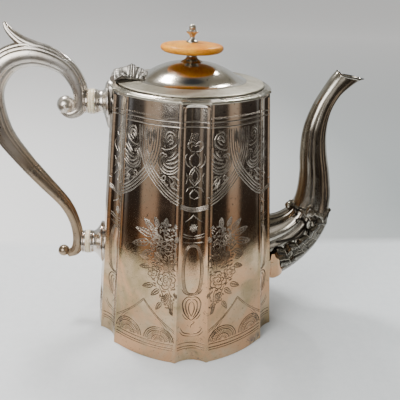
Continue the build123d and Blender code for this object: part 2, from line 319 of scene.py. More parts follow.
def bone(name, light, dark, streak):
    """Turned bone or ivory: growth streaks, cloudy age stain and a faint grain."""
    material, tree = new_material(name)
    place = tree.place()
    grain = tree.noise(tree.stretch(place, (1, 0.22, 1.6)), 420, 5, 0.6, 0.6)
    stain = tree.mask(tree.noise(place, 60, 4, 0.6), 0.35, 0.66)
    lines = tree.calc("MULTIPLY", tree.mask(grain, 0.36, 0.52, 1, 0), 0.55)
    colour = tree.mix(lines, tree.mix(stain, light, dark), streak)
    tree.surface({"Base Color": colour, "Subsurface Weight": 0.1, "Subsurface Scale": 0.004,
                  "Roughness": tree.spread(grain, 0, 1, 0.22, 0.42), "Normal": tree.bump(grain, 0.12)})
    return material


def engraved(name, metal, low_tarnish_and_reflection_metal, oxide):
    """Cut strokes: burrs, browner low down, partly tarnish and partly a painted reflection of the floor, and
    a black groove, where the mesh attribute cut is 1.
    """
    material, tree = new_material(name)
    place = tree.place()
    cut = tree.add("Attribute", {}, attribute_name="cut").outputs["Fac"]
    keep = tree.mask(tree.noise(place, 90, 4, 0.6), 0.32, 0.55, 0.35, 1)
    amount = tree.calc("MULTIPLY", cut, keep)
    # partly tarnish and partly painted reflection: the burrs turn browner below about 80 to 100 mm, like the
    # wall's low tint
    burr = tree.mix(tree.spread(tree.split(place)["Z"], 0.078, 0.102), low_tarnish_and_reflection_metal, metal)
    tree.surface({"Base Color": tree.mix(amount, burr, oxide), "Metallic": 1.0,
                  "Roughness": tree.spread(amount, 0, 1, 0.22, 0.5)})
    return material


# Each silver: clean metal, tarnish, hollows (partly tarnish, partly painted shade), roughness, bump,
# blotches per metre and pointiness of hollows.
# Where the metal turns brown low down, partly tarnish and partly a painted reflection of the floor, the two
# heights between which that happens, and its tints.
BODY_LOW_TARNISH_AND_REFLECTION = ((0.53, 0.395, 0.255), (0.34, 0.255, 0.14), (0.58, 0.335, 0.185))
HANDLE_LOW_TARNISH_AND_REFLECTION = ((0.37, 0.30, 0.225), (0.23, 0.18, 0.125), (0.33, 0.24, 0.155))
body_silver = silver("body_silver", (0.80, 0.74, 0.66), (0.60, 0.50, 0.40), (0.10, 0.08, 0.06),
                     (0.07, 0.17), 0.03, 14.0, (0.40, 0.44), (0.120, 0.165, BODY_LOW_TARNISH_AND_REFLECTION))
lid_silver = silver("lid_silver", (0.72, 0.68, 0.60), (0.56, 0.50, 0.40), (0.14, 0.11, 0.08),
                    (0.12, 0.20), 0.05, 20.0, (0.38, 0.42))
rim_silver = silver("rim_silver", (0.44, 0.41, 0.34), (0.28, 0.25, 0.19), (0.10, 0.08, 0.06),
                    (0.22, 0.36), 0.06, 60.0, (0.40, 0.46))
flange_silver = silver("flange_silver", (0.50, 0.465, 0.375), (0.27, 0.24, 0.175), (0.12, 0.10, 0.07),
                       (0.36, 0.48), 0.08, 55.0, (0.38, 0.42))
cast_silver = silver("cast_silver", (0.82, 0.78, 0.72), (0.55, 0.46, 0.38), (0.05, 0.04, 0.035),
                     (0.14, 0.28), 0.06, 30.0, (0.44, 0.495))
handle_silver = silver("handle_silver", (0.86, 0.82, 0.76), (0.62, 0.55, 0.46), (0.05, 0.04, 0.035),
                       (0.24, 0.36), 0.06, 30.0, (0.44, 0.495), (0.135, 0.205, HANDLE_LOW_TARNISH_AND_REFLECTION))
fitting_metal = silver("fitting_metal", (0.62, 0.57, 0.50), (0.40, 0.34, 0.28), (0.06, 0.05, 0.04),
                       (0.2, 0.4), 0.08, 60.0)
inner_silver = silver("inner_silver", (0.46, 0.40, 0.32), (0.26, 0.20, 0.15), (0.05, 0.04, 0.03),
                      (0.3, 0.5), 0.1, 22.0)
dark_cast = silver("dark_cast", (0.58, 0.54, 0.46), (0.30, 0.265, 0.215), (0.025, 0.02, 0.016),
                   (0.12, 0.26), 0.06, 34.0, (0.455, 0.505))
leaf_cast = silver("leaf_cast", (0.40, 0.37, 0.31), (0.20, 0.175, 0.135), (0.02, 0.016, 0.012),
                   (0.14, 0.28), 0.06, 34.0, (0.46, 0.515))
worn_cast = silver("worn_cast", (0.25, 0.235, 0.21), (0.14, 0.13, 0.11), (0.03, 0.025, 0.02),
                   (0.30, 0.45), 0.06, 60.0, (0.455, 0.51))
engraved_silver = engraved("engraved_silver", (0.84, 0.75, 0.64), (0.40, 0.28, 0.18), (0.024, 0.017, 0.012))
insulator_bone = bone("insulator_bone", (0.74, 0.68, 0.55), (0.62, 0.53, 0.37), (0.36, 0.25, 0.13))
finial_bone = bone("finial_bone", (0.68, 0.30, 0.025), (0.52, 0.17, 0.006), (0.36, 0.10, 0.004))
finial_bone.node_tree.nodes["Principled BSDF"].inputs["Specular IOR Level"].default_value = 0.12


# ---------------------------------------------------------------- body wall
def rib_radius(z):
    return BASE_RIB + (RIM_RIB - BASE_RIB) * z / WALL_TOP


def wall_radius(angle, z):
    """Distance of the wall's outer surface from the axis. The flutes end in a round arch under the rim."""
    offset = (angle - SECTOR / 2) % SECTOR
    reach = min(offset, SECTOR - offset)
    if reach < FLUTE_HALF:
        t = reach / FLUTE_HALF
        arch = WALL_TOP - 0.4 * MM - ARCH_DROP * (1 - math.sqrt(max(0.0, 1 - t ** 4)))
        fade = clamped((arch - z) / ARCH_FADE)
        depth = 0.45 + 0.55 * fade * fade * (3 - 2 * fade)
        ratio = 1 - (1 - FLUTE_RATIO) * (1 - t * t) * depth
    else:
        t = 1 - 2 * (reach - FLUTE_HALF) / (SECTOR - 2 * FLUTE_HALF)
        ratio = 1 - (1 - PANEL_RATIO) * (1 - t * t)
    bead = RIB_BEAD * gauss(reach, FLUTE_HALF + RIB_BEAD_SHIFT, RIB_BEAD_WIDTH)
    return rib_radius(z) * (ratio + bead)


def wall_columns(flute_steps, panel_steps):
    """Angles round the body, closer together near the ribs."""
    angles = []
    for sector in range(PANELS):
        middle = (sector + 0.5) * SECTOR
        for k in range(flute_steps):
            t = -1 + 2 * k / flute_steps
            angles.append(middle + FLUTE_HALF * math.sin(t * math.pi / 2))
        for k in range(panel_steps):
            t = k / panel_steps
            t = t - 0.10 * math.sin(2 * math.pi * t)
            angles.append(middle + FLUTE_HALF + t * (SECTOR - 2 * FLUTE_HALF))
    return angles


def lining_radius(angle, z):
    """Inside of the wall, which keeps its full flutes up to the rim."""
    level = min(z, WALL_TOP - 10 * MM)
    return wall_radius(angle, level) * rib_radius(z) / rib_radius(level) - WALL_SHEET


def make_wall(name, angles, heights, radius):
    points = [round_point(radius(angle, z), angle, z) for z in heights for angle in angles]
    return make_object(name, points, grid_faces(len(heights), len(angles), wrap_columns=True))


def make_body_skin():
    """Wall and lining. The rows are closer together near the top, where the flutes end."""
    angles = wall_columns(22, 42)
    plain, arched = WALL_TOP - 8 * MM, WALL_TOP - 7.6 * MM
    heights = [*np.linspace(0, plain, 150), *np.linspace(arched, WALL_TOP, 30)]
    skin = make_wall("body_skin", angles, heights, wall_radius)
    lining = make_wall("body_lining", angles, np.linspace(WALL_TOP, 1.2 * MM, 12), lining_radius)
    finish_piece(skin, "pot", "silver_plate", body_silver, "body_wall")
    finish_piece(lining, "pot", "silver_plate", inner_silver, "body_wall")


make_body_skin()

# Rim profile: distance out from the wall and height over its top, in mm. The third value is 0 where the
# rim follows the lobes of the wall. In between it goes over to a circle of RIM_ROUND, and at 1 the first
# value is a plain radius.
RIM_PROFILE = [
    (0.0, -0.6, 0), (0.55, -0.2, 0), (0.85, 0.35, 0), (0.75, 0.9, 0), (0.2, 1.25, 0), (-0.7, 1.4, 0),
    (-1.4, 1.5, 0.35), (-2.0, 1.9, 0.7), (50.6, 2.15, 1), (49.9, 2.0, 1), (47.2, 2.0, 1), (47.0, 1.8, 1),
    (47.0, 0.0, 1),
]
RIM_ROUND = 51.2


def make_rim():
    """Moulded rim: a small bead on the wall's edge, then a slope up to the seat of the lid."""
    angles = wall_columns(16, 30)
    points = []
    for step, rise, around in RIM_PROFILE:
        for angle in angles:
            lobed = wall_radius(angle, WALL_TOP) + step * MM
            radius = step * MM if around == 1 else lobed * (1 - around) + around * RIM_ROUND * MM
            points.append(round_point(radius, angle, WALL_TOP + rise * MM))
    return make_object("rim_moulding", points, grid_faces(len(RIM_PROFILE), len(angles), wrap_columns=True))


finish_piece(make_rim(), "pot", "silver_plate", rim_silver, "rim_deck")

# ---------------------------------------------------------------- lid and finial
# Radius and height in mm.
LID_PROFILE = [
    (49.5, 181.95), (49.6, 182.4), (49.3, 182.8), (45, 183.4), (40, 184.0), (36.5, 184.6), (34, 185.3),
    (31.5, 186.5), (28, 188.8), (25, 190.5), (21, 192.3), (17, 193.7), (12, 194.8), (7, 195.4), (1.6, 195.6),
]
DOME_FOOT = 37.5 * MM               # radius at which the flange goes over into the dome
LID_SHEET = 0.9 * MM                # thickness of the lid
LID_ROWS, LID_AROUND = 90, 180      # points along the profile and round the lid


def make_lid():
    """Flange and dome, parted at the foot of the dome, each with its underside."""
    outer = [(r * MM, z * MM) for r, z in smooth_path(LID_PROFILE, LID_ROWS)]
    part = next(k for k, (r, z) in enumerate(outer) if r < DOME_FOOT)
    under = [(r - 0.1 * MM, z - LID_SHEET) for r, z in outer]
    flange = lathe("lid_flange", outer[:part + 1] + under[6:part + 1][::-1], LID_AROUND)
    dome = lathe("lid_dome", outer[part:] + under[part:][::-1], LID_AROUND)
    finish_piece(flange, "lid", "silver_plate", flange_silver, "lid_shell")
    finish_piece(dome, "lid", "silver_plate", lid_silver, "lid_shell")


make_lid()

# Profiles of radius and height in mm. The disc's heights are from its middle.
DISC_PROFILE = [
    (1.6, -3.3), (9, -3.3), (15, -3.1), (18.6, -2.5), (20.4, -1.3), (20.95, 0.0), (20.5, 1.2), (18.8, 2.1),
    (14, 2.8), (8, 3.25), (1.6, 3.35),
]
SPOOL_PROFILE = [
    (7.4, 193.6), (7.6, 194.4), (7.2, 195.3), (6.0, 196.2), (4.6, 197.0), (3.9, 198.0), (3.5, 199.2),
    (3.9, 200.0), (5.2, 200.5), (5.3, 201.1), (2.0, 201.3),
]
BUD_PROFILE = [
    (3.9, 207.4), (4.0, 208.1), (3.4, 208.9), (2.2, 209.6), (1.7, 210.6), (1.7, 211.6), (2.4, 212.8),
    (3.5, 214.2), (3.6, 214.9), (2.6, 215.3), (2.1, 215.9), (2.4, 217.0), (1.9, 218.2), (0.9, 219.0),
    (0.05, 219.3),
]
disc_low, disc_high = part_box("finial_disc")


def spool_petals(angle, row):
    return 1 + 0.10 * abs(math.cos(4 * angle)) * max(0.0, 1 - row * 2.2)


def bud_petals(angle, row):
    return 1 + 0.12 * gauss(row, 0.55, 0.10) * math.cos(6 * angle)


disc = turned("amber_disc", DISC_PROFILE, 50, 128, base=(disc_low.z + disc_high.z) / 2)
spool = turned("finial_spool", SPOOL_PROFILE, 44, 96, swell=spool_petals)
bud = turned("finial_bud_cast", BUD_PROFILE, 70, 72, swell=bud_petals)
finish_piece(disc, "lid", "finial_bone", finial_bone, "finial_disc")
finish_piece(spool, "lid", "cast_silver", dark_cast, "finial_base")
finish_piece(bud, "lid", "cast_silver", dark_cast, "finial_bud")


# ---------------------------------------------------------------- engraving
class Engraver:
    """Collects cut strokes on the body as lists of (angle in degrees, height in mm)."""

    def __init__(self):
        self.strokes = []

    def cut(self, points, width, closed=False, taper=True):
        self.strokes.append((np.array(points, float), width, closed, taper))

    def curve(self, control, width, taper=True, spacing=1.1):
        length = np.linalg.norm(np.diff(np.array(control, float), axis=0), axis=1).sum()
        self.cut(smooth_path(control, max(4, int(length / spacing))), width, False, taper)

    def near(self, point, reach):
        return any(np.min(np.abs(points - point).sum(axis=1)) < reach for points, *_ in self.strokes)


def placed(points, angle, z, side=1, turn=0.0, size=1.0):
    """Motif points in mm, turned, scaled, mirrored by side and put down at an angle and height."""
    c, s = math.cos(math.radians(turn)), math.sin(math.radians(turn))
    made = []
    for x, y in points:
        px, py = size * (x * c - y * s), size * (x * s + y * c)
        made.append((angle + side * math.degrees(px * MM / rib_radius((z + py) * MM)), z + py))
    return made


def mirrored(centre, side, points):
    """Points given as degrees and height beside a centre line, on one side of it."""
    return [(centre + side * a, z) for a, z in points]


def ring_point(radius, angle):
    return (radius * math.cos(angle), radius * math.sin(angle))


def arc_points(radius, start, stop, count):
    return [ring_point(radius, math.radians(a)) for a in np.linspace(start, stop, count)]


def leaf(tool, angle, z, side, turn, length, width, veins, weight):
    """Pointed leaf with a midrib and side veins."""
    def put(points):
        return placed(points, angle, z, side, turn)
    for flank in (-1, 1):
        edge = [(length * t, flank * width / 2 * math.sin(math.pi * t ** 0.8) * (1 + 0.12 * math.sin(9 * t)))
                for t in np.linspace(0, 1, 9)]
        tool.curve(put(edge), weight)
    tool.curve(put([(0, 0), (length * 0.5, width * 0.03), (length * 0.96, 0)]), weight)
    for k in range(veins):
        t = 0.2 + 0.6 * k / max(1, veins - 1)
        for flank in (-1, 1):
            reach = flank * width * 0.34 * math.sin(math.pi * t ** 0.8)
            vein = [(length * t, 0), (length * (t + 0.09), reach * 0.6), (length * (t + 0.15), reach)]
            tool.cut(put(vein), weight * 0.7)


def rose(tool, angle, z, side, radius, rng):
    """Full-blown flower: curled heart, inner petals, notched outer petals with shading strokes."""
    heart = [ring_point(radius * 0.1 * t, 2.1 * t) for t in np.linspace(0.4, 4.2, 20)]
    tool.curve(placed(heart, angle, z, side), 0.26)
    for ring, count, shift in ((0.52, 5, 10), (0.86, 6, 35)):
        span = 360 / count * 0.62
        for k in range(count):
            a = 360 / count * k + shift + rng.uniform(-6, 6)
            petal = []
            for t in np.linspace(-1, 1, 9):
                bulge = 1 - 0.30 * t * t + 0.06 * math.cos(3 * math.pi * t)
                petal.append(ring_point(radius * ring * 1.12 * bulge, math.radians(a + span * t / 1.1)))
            tool.curve(placed(petal, angle, z, side), 0.30)
            for j in (-0.5, 0, 0.5):
                b = math.radians(a + span * j)
                outer = radius * ring * rng.uniform(0.88, 1.0)
                shade = [ring_point(radius * ring * 0.62, b), ring_point(outer, b + 0.08)]
                tool.cut(placed(shade, angle, z, side), 0.20)


def stipple(tool, angle, z, side, half_x, half_z, count, rng, size):
    """Punched dots inside an oval."""
    for _ in range(count):
        a, r = rng.uniform(0, 2 * math.pi), math.sqrt(rng.uniform(0, 1))
        x, y = half_x * r * math.cos(a), half_z * r * math.sin(a)
        tool.cut(placed([(x - size / 2, y), (x, y + size / 4), (x + size / 2, y)], angle, z, side), 0.26)


def flute_angle(index):
    return 60.0 * index + 30.0


def engrave_bands(tool):
    """Lines and wriggle work under the rim, and the border lines at the foot."""
    for z, width in ((168.4, 0.34), (165.4, 0.36), (14.2, 0.30), (11.4, 0.34), (9.6, 0.26)):
        tool.cut([(1.5 * k, z) for k in range(240)], width, True, False)
    for index in range(PANELS):
        for a in 60.0 * index + np.linspace(-20.6, 20.6, 30):
            tool.cut([(a - 0.35, 170.2), (a, 171.3), (a + 0.35, 170.2)], 0.26)
            tool.cut([(a - 0.5, 166.3), (a + 0.5, 167.5)], 0.22)


# One side of an arch, in degrees from the flute's middle and mm of height.
ARCH_ARM = [
    (35.4, 163.8), (35.2, 157.0), (34.4, 150.0), (32.8, 144.4), (30.0, 138.2), (25.4, 132.2), (21.3, 127.8),
    (17.0, 123.6), (12.8, 120.6), (8.9, 118.6),
]
ARCH_TOP = 164.2                    # mm, where the arches meet the band under the rim


def engrave_arches(tool):
    """Interlaced arches: four lines from the band under the rim, crossing mid-panel, meeting in a flute."""
    arm = smooth_path(ARCH_ARM, 46)
    along = directions(arm)
    across = np.stack([-along[:, 1], along[:, 0]], axis=1)
    for index in range(PANELS):
        centre = flute_angle(index)
        for side in (-1, 1):
            for shift in (-2.625, -0.875, 0.875, 2.625):
                line = [(a, z) for a, z in arm + shift * across if z < ARCH_TOP]
                tool.cut(mirrored(centre, side, line), 0.34, False, False)
        for drop in (0, 1.1, 2.2):
            sag = ((-8.4, 116.6), (-4.5, 114.2), (0, 113.2), (4.5, 114.2), (8.4, 116.6))
            tool.curve([(centre + a, z - drop) for a, z in sag], 0.32, False)


def engrave_drops(tool):
    """Three hanging petals between the crossing arches at the top of each panel."""
    for index in range(PANELS):
        middle = 60.0 * index
        for shift, top, foot in ((-2.6, 163.0, 154.6), (0, 163.6, 151.2), (2.6, 163.0, 154.6)):
            for grow in (1.0, 0.5):
                span = (top - foot) / 2 * (0.55 + 0.45 * grow)
                loop = [(1.15 * grow * math.sin(math.pi * t) * (1 - 0.3 * t),
                         (top + foot) / 2 + span * math.cos(math.pi * t)) for t in np.linspace(0, 1, 10)]
                for side in (1, -1):
                    tool.cut(mirrored(middle + shift, side, loop), 0.26)
        tool.curve([(middle - 3.6, 150.5), (middle, 147.0), (middle + 3.6, 150.5)], 0.26)


# Scrolls beside a rib, in degrees from the flute's middle and mm of height.
SCROLLS = [
    [(19.6, 156.9), (18.8, 160.7), (17.1, 162.3), (14.2, 161.3), (12.1, 158.2), (12.5, 155.0), (15.5, 152.2),
     (19.6, 151.0), (21.6, 152.0)],
    [(19.2, 156.3), (17.6, 159.3), (15.9, 160.2), (14.2, 158.4), (14.8, 156.0), (17.3, 154.0)],
    [(18.6, 155.4), (16.6, 157.6), (15.6, 157.4)],
    [(19.2, 147.6), (20.8, 148.9), (22.6, 147.4), (23.6, 142.9), (22.1, 139.1), (19.2, 136.5), (15.9, 136.0),
     (12.5, 137.5), (9.9, 140.0)],
    [(19.9, 147.6), (21.6, 145.6), (21.9, 142.2), (19.9, 139.0), (17.0, 137.7), (13.8, 138.4),
     (10.6, 141.2)],
    [(20.4, 146.4), (20.6, 143.6), (18.9, 141.0), (16.0, 140.0), (13.4, 140.7), (10.2, 143.6)],
    [(18.6, 142.2), (15.6, 142.8), (12.4, 144.0), (10.0, 146.4)],
    [(18.2, 144.4), (15.4, 145.2), (12.6, 147.2), (10.4, 150.2)],
    [(16.6, 146.0), (14.4, 148.0), (12.4, 151.0)],
    [(20.9, 133.4), (19.4, 134.8), (18.4, 133.2), (19.6, 131.4), (21.4, 132.2)],
    [(19.6, 131.4), (18.2, 129.4), (16.6, 129.0)],
    [(16.9, 134.6), (14.6, 133.6), (12.6, 131.2), (10.2, 128.6)],
    [(16.0, 133.0), (15.2, 129.8), (12.8, 127.2), (10.4, 125.8)],
    [(14.8, 134.6), (12.4, 134.4), (10.2, 132.6)],
    [(13.0, 131.0), (14.6, 129.6), (14.0, 127.2), (11.8, 126.8)],
    [(11.0, 162.4), (10.6, 158.0), (10.9, 153.0)],
]


# Rings at the hearts of the scrolls (offset, height, radius), and how far the arch reaches at each height.
SCROLL_EYES = ((19.2, 147.4, 0.9), (15.4, 158.0, 0.8), (21.2, 132.4, 0.7), (13.4, 129.4, 0.8))
HATCH_TRIES = 520                   # hatch strokes tried beside each rib
ARCH_EDGE = ([118.6, 120.6, 123.6, 127.8, 132.2, 138.2, 163.6], [5, 9, 13, 17.6, 21.4, 25.4, 26.6])


def engrave_scrolls(tool, rng):
    """Scrolling foliage beside each rib inside the arches, on a ground of fine hatching."""
    for index in range(PANELS):
        centre = flute_angle(index)
        for side in (-1, 1):
            own = Engraver()
            for scroll in SCROLLS:
                own.curve(mirrored(centre, side, scroll), 0.36, True, 0.9)
            for a, z, radius in SCROLL_EYES:
                own.cut(placed(arc_points(radius, 0, 340, 9), centre + side * a, z, side), 0.26)
            hatch = Engraver()
            for _ in range(HATCH_TRIES):
                a, z = rng.uniform(9.6, 24.0), rng.uniform(122.5, 163.4)
                if a > np.interp(z, *ARCH_EDGE) or own.near((centre + side * a, z), 0.95):
                    continue
                hatch.cut(mirrored(centre, side, [(a - 0.40, z - 0.42), (a + 0.40, z + 0.42)]), 0.15)
            tool.strokes += own.strokes + hatch.strokes


# Curves in each half of a flute, from the rim down: width, then degrees from its middle and height.
FLUTE_CURVES = [
    (0.32, [(0, 154.6), (3.4, 156.6), (4.8, 153.6), (2.8, 150.6), (0, 149.8)]),
    (0.22, [(0, 153.0), (2.0, 154.4), (2.8, 152.6)]),
    (0.32, [(0.6, 149.0), (3.2, 146.4), (3.4, 143.2), (1.4, 140.4)]),
    (0.28, [(5.4, 149.0), (6.4, 145.6), (5.2, 142.0), (3.0, 140.0)]),
    (0.36, [(0, 140.6), (3.0, 136.6), (3.2, 132.6), (0, 127.6)]),
    (0.24, [(0, 138.6), (1.7, 135.6), (1.8, 132.8), (0, 129.6)]),
    (0.28, [(0.4, 127.2), (3.6, 127.0), (5.6, 124.2)]),
    (0.28, [(0, 125.6), (2.4, 123.4), (2.8, 120.8), (0, 119.2)]),
    (0.24, [(5.8, 137.0), (4.6, 133.4), (5.6, 129.4)]),
    (0.26, [(5.6, 104.4), (2.0, 106.4), (0, 108.6)]),
    (0.30, [(6.6, 96.6), (3.4, 94.6), (0, 93.9)]),
    (0.24, [(6.8, 94.8), (3.4, 92.9), (0, 92.2)]),
    (0.30, [(6.2, 90.6), (3.4, 89.6), (0, 89.3)]),
    (0.28, [(6.4, 57.0), (4.4, 52.8), (0, 50.6)]),
    (0.44, [(0, 49.4), (2.4, 50.0), (4.6, 48.6), (5.6, 45.0), (4.6, 39.0), (2.6, 34.6), (0, 31.6)]),
    (0.40, [(0.3, 47.4), (2.2, 47.8), (3.6, 45.0), (3.2, 39.6), (1.2, 33.8)]),
    (0.36, [(0, 46.2), (1.4, 44.6), (1.7, 40.0), (0, 34.6)]),
    (0.24, [(5.6, 37.6), (3.8, 33.6), (1.8, 32.4)]),
    (0.32, [(6.6, 27.0), (4.6, 22.6), (0, 20.6)]),
    (0.24, [(7.4, 25.0), (4.8, 20.6), (0, 18.8)]),
]


def cartouche(half_width, half_height):
    """One side of a plain pointed oval in the lower half of a flute."""
    return [(half_width * math.sin(math.pi * t) ** 0.62, 69.5 + half_height * math.cos(math.pi * t))
            for t in np.linspace(0, 1, 22)]


def engrave_flutes(tool):
    """Upright ornament in each flute: foliage, a small flower, the plain cartouche and a bud under it."""
    for index in range(PANELS):
        c = flute_angle(index)
        for side in (-1, 1):
            for a in (-2.6, -1.3, 0, 1.3):
                tool.cut([(c + a, 161.6), (c + a + side * 2.0, 155.4)], 0.20)
            for width, points in FLUTE_CURVES:
                tool.curve(mirrored(c, side, points), width)
            for turn in (-70, -25, 20, 65):
                leaf(tool, c, 99.8, side, turn, 3.0, 1.5, 1, 0.22)
            for half_width, height, width in ((5.0, 17.2, 0.28), (5.8, 17.92, 0.18), (6.5, 18.55, 0.18)):
                tool.curve(mirrored(c, side, cartouche(half_width, height)), width, False)
            for t in np.linspace(0, 1, 7):
                bow = math.sin(math.pi * t)
                outer = [(3.9 + 0.9 * bow, 36.6 + 10.6 * t), (3.3 + 0.4 * bow, 34.8 + 10.6 * t)]
                tool.cut(mirrored(c, side, outer), 0.26)
                tool.cut(mirrored(c, side, [(2.4, 38.0 + 8.0 * t), (1.9, 36.4 + 8.0 * t)]), 0.22)
        tool.curve([(c + 0.8, 31.0), (c + 2.2, 30.2), (c, 28.0), (c - 0.2, 25.4)], 0.26)
        for k in range(12):
            a = c - 7.4 + 14.8 * k / 11
            tool.cut([(a - 0.4, 15.2), (a + 0.4, 18.0 - 0.6 * math.cos((k - 5.5) / 5.5))], 0.20)


# Bouquet beside a flute, in degrees from the flute's middle and mm of height.
# Leaves: offset, height, turn, length, width.
LEAVES = [
    (26.0, 93.0, 12, 13.0, 4.6), (27.5, 88.5, -14, 14.5, 4.8), (25.0, 97.0, 38, 10.0, 3.8),
    (22.0, 100.0, 66, 7.0, 3.0), (17.4, 100.0, 92, 7.0, 3.2), (26.5, 82.5, -34, 9.0, 3.4),
    (27.5, 76.0, 8, 7.5, 3.2), (27.0, 71.0, -18, 8.0, 3.2), (11.6, 78.5, 205, 3.4, 1.8),
    (21.0, 75.5, 60, 6.0, 2.8), (24.0, 58.0, -24, 9.0, 3.6), (20.0, 55.5, -42, 8.5, 3.4),
    (14.6, 53.5, -70, 6.6, 3.0), (12.8, 46.5, -96, 7.6, 3.0), (18.6, 46.0, -58, 7.4, 3.0),
    (10.6, 55.0, 250, 5.0, 2.0), (19.0, 79.5, 20, 6.0, 2.6), (10.8, 90.5, 110, 5.0, 2.2),
    (13.2, 41.0, -120, 4.6, 1.8),
]
STEMS = [
    [(11.0, 38.5), (12.4, 44.0), (13.0, 52.0), (14.6, 57.0)], [(12.0, 40.0), (16.0, 48.0), (20.0, 58.0)],
    [(15.0, 69.0), (14.4, 76.0), (15.0, 81.5)], [(19.0, 70.0), (21.0, 78.0), (23.0, 86.0)],
    [(17.0, 91.0), (18.0, 96.0), (17.4, 101.0)], [(12.6, 70.0), (11.0, 76.0), (11.4, 84.0)],
]
PETAL = [(-1.3, -0.3), (-0.5, 0.45), (0.5, 0.45), (1.3, -0.3)]
PETAL_FOLD = [(-0.6, -0.4), (0, 0.0), (0.6, -0.4)]
PETAL_TRIES = 1500                  # small petals tried on the ground of a bouquet
HEARTS = [(15.6, 62.5), (23.6, 66.5), (15.0, 86.5), (22.5, 91.0), (16.0, 50.0), (14.5, 98.0)]
BOUQUET_EDGE = ([42, 50, 58, 66, 75, 82, 90, 98, 103], [15, 19, 24, 26, 25, 27.5, 29, 25, 20])


def engrave_bouquet(tool, centre, side, rng):
    """Spray of flowers beside a flute. side points away from the flute's middle, which is at centre."""
    def add_rose(offset, z, radius):
        rose(tool, centre + side * offset, z, side, radius, rng)

    def add_dots(offset, z, half_x, half_z, count, size):
        stipple(tool, centre + side * offset, z, side, half_x, half_z, count, rng, size)

    add_rose(15.8, 62.5, 6.8)
    add_dots(14.2, 61.5, 3.2, 3.4, 34, 0.5)
    add_rose(23.8, 67.0, 4.8)
    add_rose(15.2, 86.5, 5.8)
    add_rose(23.0, 90.5, 4.6)
    add_rose(15.6, 49.0, 3.8)
    add_dots(21.8, 90.5, 4.2, 4.6, 46, 0.8)
    add_dots(12.6, 97.5, 2.6, 3.0, 16, 0.8)
    add_dots(16.4, 48.5, 3.0, 3.2, 26, 0.6)
    for offset, z, turn, length, width in LEAVES:
        leaf(tool, centre + side * offset, z, side, turn + rng.uniform(-5, 5), length, width, 4, 0.30)
    for stem in STEMS:
        tool.curve(mirrored(centre, side, stem), 0.26)
    # the ground between the flowers is filled with small petals that circle the nearest heart
    for _ in range(PETAL_TRIES):
        a, z = rng.uniform(10.2, 29.5), rng.uniform(42.0, 103.0)
        spot = centre + side * a
        if a > np.interp(z, *BOUQUET_EDGE) or tool.near((spot, z), 1.25):
            continue
        heart = min(HEARTS, key=lambda h: abs(h[0] - a) + abs(h[1] - z))
        swirl = math.degrees(math.atan2(z - heart[1], a - heart[0])) + 90 + rng.uniform(-25, 25)
        size = rng.uniform(0.75, 1.25)
        tool.curve(placed(PETAL, spot, z, side, swirl, size), 0.34)
        tool.cut(placed(PETAL_FOLD, spot, z, side, swirl, size), 0.22)


def engrave_fans(tool):
    """Overlapping fans round the foot under a low pointed arch on each panel."""
    for index in range(PANELS):
        middle = 60.0 * index
        for side in (-1, 1):
            for drop, width in ((0, 0.22), (1.3, 0.17)):
                arch = ((20.6, 24.5), (15.0, 29.4), (8.0, 36.2), (2.4, 42.8), (0, 46.0))
                tool.curve(mirrored(middle, side, [(a, z - drop) for a, z in arch]), width, False)
            hub = (middle + side * 10.4, 15.2)
            for radius, width in ((11.2, 0.34), (9.8, 0.24), (8.6, 0.30), (5.2, 0.28)):
                tool.curve(placed(arc_points(radius, 4, 176, 16), *hub), width, False)
            for a in np.radians(np.linspace(8, 172, 17)):
                ray = [ring_point(r, a + 0.05 * (r - 5)) for r in np.linspace(5.4, 8.4, 4)]
                tool.cut(placed(ray, *hub), 0.22)
            for a in np.radians(np.linspace(14, 166, 9)):
                tool.cut(placed([ring_point(r, a) for r in (1.4, 3.2, 4.9)], *hub), 0.24)
            for t in (0, 0.5, 1):
                spray = [(20.0 - 2.2 * t, 16.0 + 7.0 * t), (17.0 - 3.0 * t, 20.0 + 8.5 * t),
                         (12.5 - 3.5 * t, 27.0 + 7.5 * t)]
                tool.curve(mirrored(middle, side, spray), 0.18)
        for a in middle + np.linspace(-20.4, 20.4, 30):
            tool.cut([(a, 11.9), (a + 0.5, 13.7)], 0.17)


# Section of a stroke: place across it, times its width, height in mm over the wall, and the value of cut.
BURR = ((-1.0, 0.012, 0.0), (-0.78, 0.06, 0.1), (-0.45, 0.03, 1.0), (0.0, 0.015, 1.0), (0.45, 0.03, 1.0),
        (0.78, 0.06, 0.1), (1.0, 0.012, 0.0))
BURR_WIDTH = 0.3                    # mm, width of stroke that has just these heights
LOWEST, HIGHEST = 0.3, 178.0        # mm, how far down and up the wall is engraved
SEED = 7


def make_strokes(name, tool, bold):
    """Turns the strokes into narrow V-shaped cuts with burrs, lying on the wall."""
    points, faces, cuts = [], [], []
    for path, width, closed, taper in tool.strokes:
        if len(path) < 2:
            continue
        scale = rib_radius(float(path[:, 1].mean()) * MM) / MM * math.pi / 180
        along = np.gradient(path * np.array([scale, 1.0]), axis=0)
        if closed:
            along[:] = (1.0, 0.0)
        size = np.linalg.norm(along, axis=1)
        size[size == 0] = 1
        along /= size[:, None]
        start = len(points)
        for i, (a, z) in enumerate(path):
            t = i / (len(path) - 1)
            w = bold * width * (0.25 + 0.75 * math.sin(math.pi * t) ** 0.5 if taper else 1.0)
            for place, lift, cut in BURR:
                angle = math.radians(a - along[i, 1] * place * w / scale)
                height = min(max(z + along[i, 0] * place * w, LOWEST), HIGHEST) * MM
                radius = wall_radius(angle, height) + lift * MM * (w / BURR_WIDTH)
                points.append(round_point(radius, angle, height))
                cuts.append(cut)
        faces += grid_faces(len(path), len(BURR), wrap_rows=closed, flip=True, start=start)
    piece = make_object(name, points, faces, False)
    piece.data.attributes.new("cut", "FLOAT", "POINT").data.foreach_set("value", cuts)
    finish_piece(piece, "pot", "silver_plate", engraved_silver, "body_wall")


